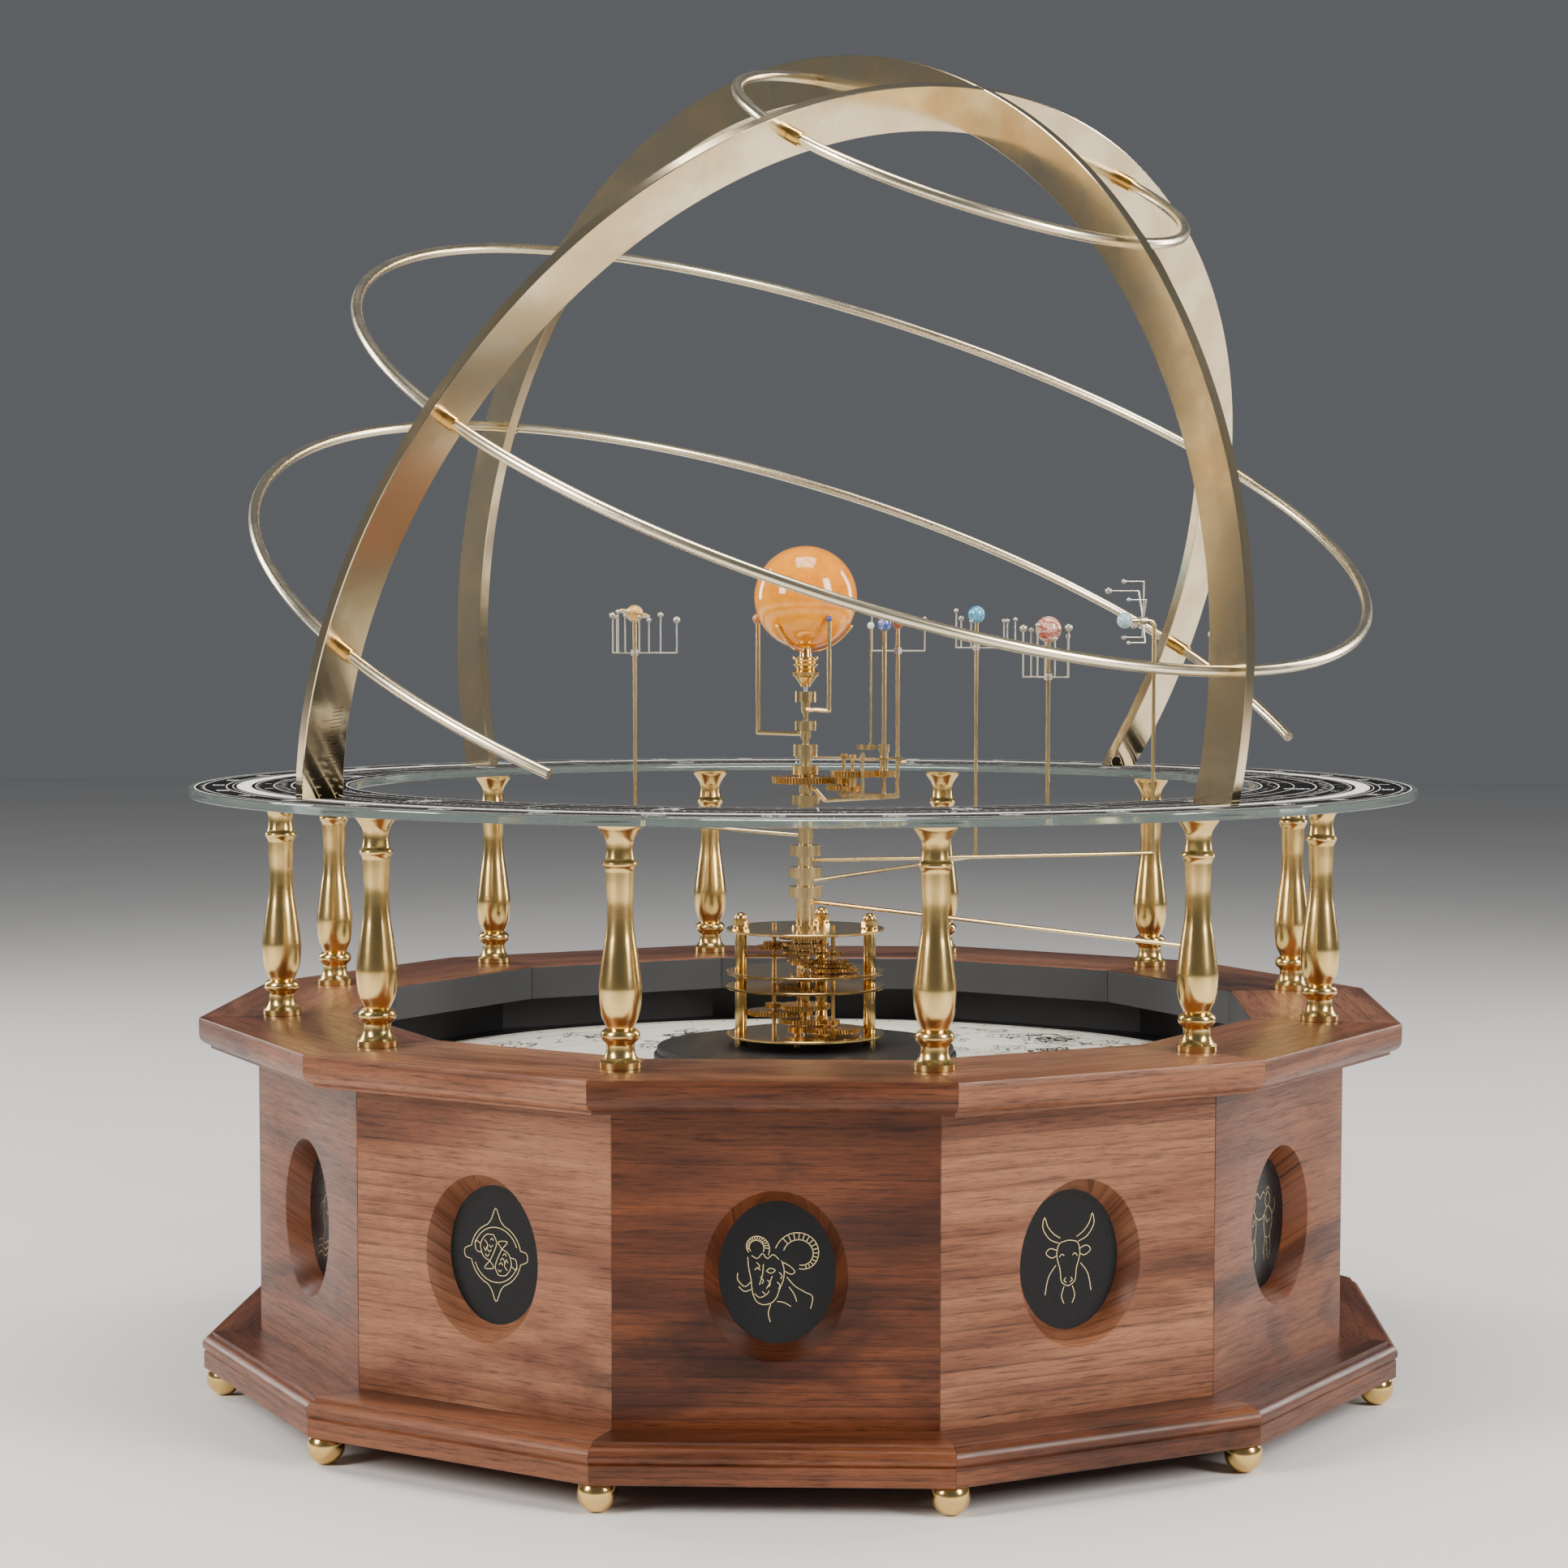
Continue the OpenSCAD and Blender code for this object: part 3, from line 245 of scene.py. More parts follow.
BRASS = brass("polished_brass", (0.82, 0.56, 0.20), 0.15, mottle=0.15)
TURNED = brass("turned_brass", (0.82, 0.57, 0.21), 0.18, turned=0.5, mottle=0.2)
ARC = brass("aged_brass", (0.90, 0.76, 0.50), 0.13, mottle=0.45, tone=(0.62, 0.40, 0.17), marks=0.008)
ROD = brass("pale_brass_rod", (0.90, 0.79, 0.56), 0.22, mottle=0.10, marks=0.002)
ARM = brass("arm_brass", (0.84, 0.64, 0.32), 0.16, mottle=0.15)
GEAR = brass("gear_brass", (0.62, 0.42, 0.16), 0.25, mottle=0.45)
DARK_BRASS = brass("engraved_line", (0.16, 0.10, 0.04), 0.5, mottle=0.3)
STEEL = steel("steel_rod", (0.62, 0.62, 0.62), 0.22)
WIRE = steel("steel_wire", (0.60, 0.56, 0.48), 0.26)
MOTOR = steel("zinc_can", (0.55, 0.56, 0.57), 0.34)
PANEL = walnut("walnut_panel")
TRIM = walnut("walnut_moulding", 0.32)
BLACK = board("black_board", (0.010, 0.010, 0.012), 0.46)
LINING = board("lining_board", (0.030, 0.032, 0.036), 0.50)
MEDAL = board("black_medallion", (0.004, 0.004, 0.005), 0.20, 120, 0.02, 0.22)
GOLD = brass("gold_line", (0.95, 0.74, 0.34), 0.22, mottle=0.05)
CREAM = board("chart_print", (0.86, 0.83, 0.70), 0.55)
INK = board("chart_ink", (0.012, 0.011, 0.012), 0.5)
PRINT_BLACK = board("ring_print_black", (0.004, 0.004, 0.005), 0.65, 90, 0.02, 0.05)
PRINT_WHITE = board("ring_print_white", (0.93, 0.92, 0.88), 0.5, 120, 0.03, 0.3)
GLASS = glass("printed_glass")
SUN = stone("orange_stone", [(0.25, (0.80, 0.18, 0.0)), (0.45, (0.95, 0.29, 0.0)), (0.60, (1.0, 0.35, 0.001)),
                            (0.78, (1.0, 0.46, 0.006))], 22, 0.07, 0.08, stretch=(1, 1, 2.2), coat=0.35)
STONES = {
    "mercury": stone("indigo_stone", [(0.35, (0.03, 0.02, 0.14)), (0.6, (0.07, 0.06, 0.30))], 900),
    "venus": stone("amber_stone", [(0.35, (0.30, 0.09, 0.02)), (0.5, (0.55, 0.22, 0.05)),
                                   (0.65, (0.72, 0.40, 0.14))], 420),
    "earth": stone("lapis_stone", [(0.38, (0.02, 0.05, 0.26)), (0.52, (0.04, 0.10, 0.40)),
                                   (0.60, (0.75, 0.76, 0.74))], 380),
    "mars": stone("red_stone", [(0.35, (0.22, 0.05, 0.02)), (0.6, (0.48, 0.13, 0.06))], 420),
    "jupiter": stone("banded_stone", [(0.30, (0.34, 0.045, 0.02)), (0.44, (0.62, 0.14, 0.07)),
                                      (0.50, (0.85, 0.62, 0.48)),
                                      (0.57, (0.42, 0.06, 0.03)), (0.70, (0.72, 0.32, 0.20))], 60,
                     stretch=(1.2, 1.2, 7), distortion=0.5),
    "saturn": stone("tan_stone", [(0.32, (0.62, 0.25, 0.035)), (0.5, (0.80, 0.50, 0.13)),
                                  (0.66, (0.92, 0.78, 0.50))], 160,
                    stretch=(1, 1, 3)),
    "uranus": stone("pale_blue_stone", [(0.35, (0.26, 0.44, 0.54)), (0.6, (0.48, 0.66, 0.72))], 150),
    "neptune": stone("blue_stone", [(0.35, (0.03, 0.20, 0.42)), (0.52, (0.10, 0.40, 0.60)),
                                    (0.64, (0.45, 0.72, 0.80))], 260),
    "pluto": stone("grey_stone", [(0.35, (0.26, 0.22, 0.20)), (0.6, (0.55, 0.50, 0.45))], 500),
}
PEARL = stone("pearl_bead", [(0.35, (0.70, 0.66, 0.60)), (0.6, (0.90, 0.88, 0.83))], 500, 0.16)

# ---------------------------------------------------------------- mesh tools

def add(name, verts, faces, material, body, slot=None, angle=35, bevel=0.0, grain=None, segments=2):
    """Makes one piece from millimetre vertices, shades it and lets it ride on its body."""
    mesh = bpy.data.meshes.new(name)
    mesh.from_pydata([(x * MM, y * MM, z * MM) for x, y, z in verts], [], faces)
    if grain is not None:
        attribute = mesh.attributes.new("grain", "FLOAT_VECTOR", "POINT")
        attribute.data.foreach_set("vector", [c for g in grain for c in g[:3]])
        attribute = mesh.attributes.new("tone", "FLOAT", "POINT")
        attribute.data.foreach_set("value", [g[3] for g in grain])
    mesh.materials.append(material)
    piece = bpy.data.objects.new(name, mesh)
    bpy.context.collection.objects.link(piece)
    bm = bmesh.new()
    bm.from_mesh(mesh)
    bmesh.ops.recalc_face_normals(bm, faces=bm.faces)
    bm.to_mesh(mesh)
    bm.free()
    mesh.shade_smooth()
    mesh.set_sharp_from_angle(angle=math.radians(angle))
    if bevel:
        mod = piece.modifiers.new("edges", "BEVEL")
        mod.width = bevel * MM
        mod.segments = segments
        mod.limit_method = "ANGLE"
        mod.angle_limit = math.radians(angle)
        mod.harden_normals = True
    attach(piece, body)
    return piece


class Shape:
    """Vertices and faces gathered from many parts, in millimetres."""

    def __init__(self):
        self.v = []
        self.f = []
        self.g = []

    def join(self, verts, faces, place=None, grain=None):
        start = len(self.v)
        self.v += [tuple(place @ Vector(v)) for v in verts] if place else [tuple(v) for v in verts]
        self.f += [tuple(i + start for i in face) for face in faces]
        if grain:
            self.g += grain
        return self

    def piece(self, name, material, body, slot=None, angle=35, bevel=0.0, segments=2):
        return add(name, self.v, self.f, material, body, slot, angle, bevel, self.g or None, segments)


def at(x=0, y=0, z=0):
    return Matrix.Translation((x, y, z))


def turn_z(degrees):
    return Matrix.Rotation(math.radians(degrees), 4, "Z")


def polar(r, degrees):
    return r * math.cos(math.radians(degrees)), r * math.sin(math.radians(degrees))


def lathe(profile, steps=48, closed=False):
    """Turns (radius, height) points about Z. Ends on the axis are closed by a fan."""
    verts, faces, rows = [], [], []
    for r, z in profile:
        if r < 1e-6:
            rows.append([len(verts)] * steps)
            verts.append((0, 0, z))
        else:
            rows.append(list(range(len(verts), len(verts) + steps)))
            verts += [(r * math.cos(TAU * i / steps), r * math.sin(TAU * i / steps), z) for i in range(steps)]
    pairs = list(zip(rows, rows[1:])) + ([(rows[-1], rows[0])] if closed else [])
    for a, b in pairs:
        for i in range(steps):
            j = (i + 1) % steps
            face = [a[i], a[j], b[j], b[i]]
            unique = [k for n, k in enumerate(face) if k not in face[:n]]
            if len(unique) > 2:
                faces.append(unique)
    return verts, faces


def soft(profile, radius=0.25, steps=2):
    """Rounds each inner corner of an open (radius, height) profile."""
    out = [profile[0]]
    for a, b, c in zip(profile, profile[1:], profile[2:]):
        va, vc = Vector(a) - Vector(b), Vector(c) - Vector(b)
        r = min(radius, va.length * 0.45, vc.length * 0.45)
        if r < 1e-4 or va.length < 1e-6 or vc.length < 1e-6 or abs(va.normalized().dot(vc.normalized())) > 0.97:
            out.append(tuple(b))
            continue
        p, q = Vector(b) + va.normalized() * r, Vector(b) + vc.normalized() * r
        for i in range(steps + 1):
            t = i / steps
            out.append(tuple(p * (1 - t) ** 2 + Vector(b) * 2 * t * (1 - t) + q * t * t))
    return out + [profile[-1]]


def tube(r_in, r_out, z0, z1, steps=40, edge=0.15):
    """A ring with eased edges."""
    e = min(edge, (z1 - z0) * 0.3, (r_out - r_in) * 0.4)
    return lathe([(r_in, z0 + e), (r_in + e, z0), (r_out - e, z0), (r_out, z0 + e), (r_out, z1 - e),
                  (r_out - e, z1), (r_in + e, z1), (r_in, z1 - e)], steps, True)


def ball(x, y, z, r, steps=48):
    n = steps // 2
    profile = [(r * math.sin(math.pi * i / n), -r * math.cos(math.pi * i / n)) for i in range(n + 1)]
    profile[0], profile[-1] = (0, -r), (0, r)
    verts, faces = lathe(profile, steps)
    return [(a + x, b + y, c + z) for a, b, c in verts], faces


def rod(points, r, sides=12, closed=False):
    """A round rod along a path of points."""
    points = [Vector(p) for p in points]
    n = len(points)
    verts, faces = [], []
    ahead = [((points[(i + 1) % n] if closed or i + 1 < n else points[i])
              - (points[i - 1] if closed or i else points[i])).normalized() for i in range(n)]
    side = ahead[0].orthogonal().normalized()
    for i in range(n):
        side = (side - ahead[i] * side.dot(ahead[i])).normalized()
        other = ahead[i].cross(side)
        for k in range(sides):
            a = TAU * k / sides
            verts.append(points[i] + (side * math.cos(a) + other * math.sin(a)) * r)
    if closed:
        first, last = verts[0], verts[-sides:]
        drift = min(range(sides), key=lambda k: (last[k] - first).length)
    for i in range(n if closed else n - 1):
        for k in range(sides):
            a, b = i * sides + k, i * sides + (k + 1) % sides
            if closed and i == n - 1:
                c, d = (k + 1 - drift) % sides, (k - drift) % sides
            else:
                c, d = b + sides, a + sides
            faces.append((a, b, c, d))
    if not closed:
        for i in (0, n - 1):
            ring = list(range(i * sides, (i + 1) * sides))
            start = len(verts)
            verts += [verts[k] + (points[i] - verts[k]) * 0.25 for k in ring]
            for k in range(sides):
                faces.append((ring[k], ring[(k + 1) % sides], start + (k + 1) % sides, start + k))
            faces.append(tuple(range(start, start + sides)))
    return [tuple(v) for v in verts], faces


def extrude(outline, z0, z1):
    n = len(outline)
    verts = [(x, y, z0) for x, y in outline] + [(x, y, z1) for x, y in outline]
    faces = [tuple(range(n))[::-1], tuple(range(n, 2 * n))]
    faces += [(i, (i + 1) % n, (i + 1) % n + n, i + n) for i in range(n)]
    return verts, faces


def ribbon(points, width, z, closed=False):
    """A flat printed or engraved line in the XY plane, as quads with mitred corners."""
    n = len(points)
    verts, faces = [], []
    for i, p in enumerate(points):
        a = points[i - 1] if closed or i else p
        b = points[(i + 1) % n] if closed or i + 1 < n else p
        dx, dy = b[0] - a[0], b[1] - a[1]
        length = math.hypot(dx, dy) or 1
        nx, ny = -dy / length * width / 2, dx / length * width / 2
        verts += [(p[0] + nx, p[1] + ny, z), (p[0] - nx, p[1] - ny, z)]
    for i in range(n if closed else n - 1):
        j = (i + 1) % n
        faces.append((2 * i, 2 * i + 1, 2 * j + 1, 2 * j))
    return verts, faces


def dot(x, y, r, z, sides=8):
    return [(x + r * math.cos(TAU * i / sides), y + r * math.sin(TAU * i / sides),
             z) for i in range(sides)], \
        [tuple(range(sides))]


def annulus(r0, r1, z, steps=192):
    verts = [(r * math.cos(TAU * i / steps), r * math.sin(TAU * i / steps), z) for r in (r0,
            r1) for i in range(steps)]
    return verts, [(i, (i + 1) % steps, (i + 1) % steps + steps, i + steps) for i in range(steps)]


DIGITS = {"0": "abcdef", "1": "bc", "2": "abged", "3": "abgcd", "4": "fgbc", "5": "afgcd", "6": "afgedc",
          "7": "abc", "8": "abcdefg", "9": "abcfgd"}
BARS = {"a": ((0, 2), (1, 2)), "b": ((1, 1), (1, 2)), "c": ((1, 0), (1, 1)), "d": ((0, 0), (1, 0)),
        "e": ((0, 0), (0, 1)), "f": ((0, 1), (0, 2)), "g": ((0, 1), (1, 1))}


def numeral(shape, text, r, degrees, size, width, z):
    """Plain numerals on a dial, read from its centre outwards."""
    place = turn_z(degrees - 90) @ at(0, r, 0)
    x = -len(text) * size * 0.72 / 2
    for letter in text:
        for bar in DIGITS[letter]:
            (x0, y0), (x1, y1) = BARS[bar]
            ends = [(x + x0 * size * 0.5, y0 * size * 0.5), (x + x1 * size * 0.5, y1 * size * 0.5)]
            shape.join(*ribbon(ends, width, z), place)
        x += size * 0.72


def keep(node, material, angle=32, bevel=0.0):
    """A CAD node that stays, with a better material and eased edges."""
    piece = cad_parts[node]
    if not piece.material_slots:
        piece.data.materials.append(material)
    for place in piece.material_slots:
        place.material = material
    piece.data.shade_smooth()
    piece.data.set_sharp_from_angle(angle=math.radians(angle))
    if bevel:
        mod = piece.modifiers.new("edges", "BEVEL")
        mod.width = bevel * MM
        mod.segments = 2
        mod.limit_method = "ANGLE"
        mod.angle_limit = math.radians(angle)
    return piece

# ---------------------------------------------------------------- dimensions, mm

SIDES = 12
HALF = math.radians(15)
PANEL_FACE = 263.2 * math.cos(HALF)
PANEL_BACK = PANEL_FACE - 18
TRIM_FACE = 290.6 * math.cos(HALF)
CROWN_HOLE = 220 * math.cos(HALF)
CROWN_TOP, CROWN_BOTTOM, PLINTH_TOP, PLINTH_BOTTOM = 179.5, 164.8, 30.3, 13
PORT_Z = 94.5
random.seed(7)

# ---------------------------------------------------------------- walnut tub

def board_grain(points, seed, tone):
    """Grain for a board lying along X with Z up: along, across, the seed and the board's tone, which also carries
    painted light and shade.
    """
    return [(x * MM + seed * 1.37, z * MM + y * MM * 0.8 + seed * 0.61, y * MM * 0.6 + seed * 2.9, tone)
            for x, y, z in points]


# Per-side tones: the boards' own walnut colour plus painted light and shade, the front board darkest and the
# boards either side of it lightest, mirrored left to right; the mouldings repeat the pattern
PANEL_TONES_WITH_PAINTED_LIGHT = [0.06, 0.72, 0.18, 0.45, 0.25, 0.6, 0.3, 0.5, 0.2, 0.55, 0.14, 0.78]
TRIM_TONES_WITH_PAINTED_LIGHT = [0.34, 0.52, 0.22, 0.40, 0.30, 0.5, 0.3, 0.45, 0.25, 0.5, 0.28, 0.56]


def panel(i):
    """One side panel with a tapered oval porthole, gridded round the hole so that its edges round over."""
    n = 96
    angles = [TAU * k / n for k in range(n)]

    def oval(w, h, y):
        return [(w / 2 * math.cos(a), y, PORT_Z + h / 2 * math.sin(a)) for a in angles]

    def frame_ring(face, y, inset):
        half = (face - 0.2) * math.tan(HALF) - inset
        z0, z1 = PLINTH_TOP + inset * 0.2, CROWN_BOTTOM - inset * 0.2
        out = []
        for a in angles:
            c, s = math.cos(a), math.sin(a)
            reach = min(half / abs(c) if abs(c) > 1e-9 else 1e9,
                        ((z1 - PORT_Z) / s if s > 0 else (PORT_Z - z0) / -s) if abs(s) > 1e-9 else 1e9)
            out.append((reach * c, y, PORT_Z + reach * s))
        corners = [(half, y, z1), (-half, y, z1), (-half, y, z0), (half, y, z0)]
        for corner in corners:
            k = min(range(n), key=lambda j: (out[j][0] - corner[0]) ** 2 + (out[j][2] - corner[2]) ** 2)
            out[k] = corner
        return out

    e = 0.35
    rings = [frame_ring(PANEL_BACK, -PANEL_BACK, 0), frame_ring(PANEL_FACE, -PANEL_FACE + e, 0),
             frame_ring(PANEL_FACE, -PANEL_FACE, e), oval(59.5 + 1.4, 71.3 + 1.4, -PANEL_FACE),
             oval(59.5 + 0.4, 71.3 + 0.4, -PANEL_FACE + 0.12),
             oval(59.5 - 0.3, 71.3 - 0.3, -PANEL_FACE + 0.6),
             oval(49 + 0.3, 60 + 0.3, -PANEL_FACE + 9.6), oval(49, 60, -PANEL_FACE + 10),
             oval(53, 64, -PANEL_FACE + 10), oval(53, 64, -PANEL_BACK)]
    verts = [v for ring in rings for v in ring]
    faces = []
    for r in range(len(rings)):
        s = (r + 1) % len(rings)
        faces += [(r * n + k, r * n + (k + 1) % n, s * n + (k + 1) % n, s * n + k) for k in range(n)]
    return verts, faces, board_grain(verts, i * 1.7 + 0.3, PANEL_TONES_WITH_PAINTED_LIGHT[i])


panels = Shape()
for side in range(SIDES):
    v, f, g = panel(side)
    panels.join(v, f, turn_z(side * 30), g)
walls = panels.piece("walnut_panels", PANEL, "base", "walnut_panel", 28)
# Painted shade: the faces towards the well take the black board material, standing in for the dark, unlit inside
# of the tub
walls.data.materials.append(BLACK)
for face in walls.data.polygons:
    x, y = face.center.x, face.center.y
    if abs(face.normal.z) < 0.2 and face.normal.x * x + face.normal.y * y < -0.8 * math.hypot(x, y):
        face.material_index = 1
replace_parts(walls, "side_panels")


def moulding(profile, name, node, seed, shade):
    """Twelve mitred lengths swept from one profile of (distance from the axis, height)."""
    shape = Shape()
    count = len(profile)
    for i in range(SIDES):
        verts = []
        columns = 9
        for k in range(columns):
            t = -1 + 2 * k / (columns - 1)
            for r, z in profile:
                verts.append(((r - 0.2) * math.tan(HALF) * t, -r, z))
        faces = []
        for k in range(columns - 1):
            for j in range(count):
                l = (j + 1) % count
                faces.append((k * count + j, k * count + l, (k + 1) * count + l, (k + 1) * count + j))
        faces.append(tuple(range(count))[::-1])
        faces.append(tuple(range((columns - 1) * count, columns * count)))
        grain = board_grain(verts, seed + i * 2.3, TRIM_TONES_WITH_PAINTED_LIGHT[i] * shade)
        shape.join(verts, faces, turn_z(i * 30), grain)
    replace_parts(shape.piece(name, TRIM, "base", "walnut_moulding", 30), node)


crown = [(CROWN_HOLE, CROWN_TOP - 0.4), (CROWN_HOLE + 0.4, CROWN_TOP), (TRIM_FACE - 0.9, CROWN_TOP),
         (TRIM_FACE - 0.25, CROWN_TOP - 0.25), (TRIM_FACE, CROWN_TOP - 0.9), (TRIM_FACE, 171.6)]
crown += [(TRIM_FACE - 5.2 + 5.2 * math.cos(math.radians(a)),
           171.6 - 5.2 * math.sin(math.radians(a))) for a in range(10, 90, 10)]
crown += [(TRIM_FACE - 5.2, 166.4), (TRIM_FACE - 5.2, CROWN_BOTTOM), (CROWN_HOLE, CROWN_BOTTOM)]
moulding(crown, "walnut_crown", "crown_moulding", 31.0, 1.25)
plinth = [(PANEL_BACK, PLINTH_BOTTOM), (TRIM_FACE - 1.2, PLINTH_BOTTOM),
          (TRIM_FACE - 0.7, PLINTH_BOTTOM + 0.5),
          (TRIM_FACE - 0.7, 21.0), (TRIM_FACE - 1.5, 21.5), (TRIM_FACE - 1.2, 21.9), (TRIM_FACE - 0.25, 22.8)]
plinth += [(TRIM_FACE - 4.6 + 4.6 * math.cos(math.radians(a)),
            24.2 + 4.6 * math.sin(math.radians(a))) for a in range(0, 90, 10)]
plinth += [(TRIM_FACE - 4.6, 28.8), (TRIM_FACE - 4.6, PLINTH_TOP), (PANEL_BACK, PLINTH_TOP)]
moulding(plinth, "walnut_plinth", "plinth_moulding", 77.0, 0.5)

lining = Shape()
for side in range(SIDES):
    half = (CROWN_HOLE - 1.6) * math.tan(HALF) - 0.08
    v, f = extrude([(-half, -CROWN_HOLE + 0.02), (half, -CROWN_HOLE + 0.02), (half, -CROWN_HOLE + 1.6),
                    (-half, -CROWN_HOLE + 1.6)],
                   162.4, CROWN_TOP - 0.4)
    lining.join(v, f, turn_z(side * 30))
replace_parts(lining.piece("lining_strips", LINING, "base", "black_board", bevel=0.2), "inner_lining")
keep("deck_board", BLACK)

# Medallions: black ovals with gold line drawings of the twelve signs

def spiral(cx, cy, r0, r1, a0, a1, steps=22):
    return [(cx + (r0 + (r1 - r0) * i / steps) * math.cos(math.radians(a0 + (a1 - a0) * i / steps)),
             cy + (r0 + (r1 - r0) * i / steps) * math.sin(math.radians(a0 + (a1 - a0) * i / steps)))
            for i in range(steps + 1)]


def smooth(points, steps=5):
    """Catmull-Rom through the points."""
    out = []
    p = [points[0]] + list(points) + [points[-1]]
    for a, b, c, d in zip(p, p[1:], p[2:], p[3:]):
        for i in range(steps):
            t = i / steps
            out.append(tuple(0.5 * (2 * b[k] + (c[k] - a[k]) * t + (2 * a[k] - 5 * b[k] + 4 * c[k] - d[k]) * t * t
                                    + (3 * b[k] - a[k] - 3 * c[k] + d[k]) * t ** 3) for k in (0, 1)))
    return out + [points[-1]]


def mirrored(lines):
    return lines + [[(-x, y) for x, y in line] for line in lines]


def horn(cx, cy, r, w, a0, a1):
    """A ribbed curling horn."""
    lines = [spiral(cx, cy, r, r * 0.55, a0, a1), spiral(cx, cy, r - w, r * 0.40, a0, a1)]
    for i in range(2, 17):
        t = i / 18
        a = math.radians(a0 + (a1 - a0) * t)
        outer = r + (r * 0.55 - r) * t
        inner = (r - w) + (r * 0.40 - r + w) * t
        lines.append([(cx + outer * math.cos(a), cy + outer * math.sin(a)),
                      (cx + inner * math.cos(a + 0.05), cy + inner * math.sin(a + 0.05))])
    return lines


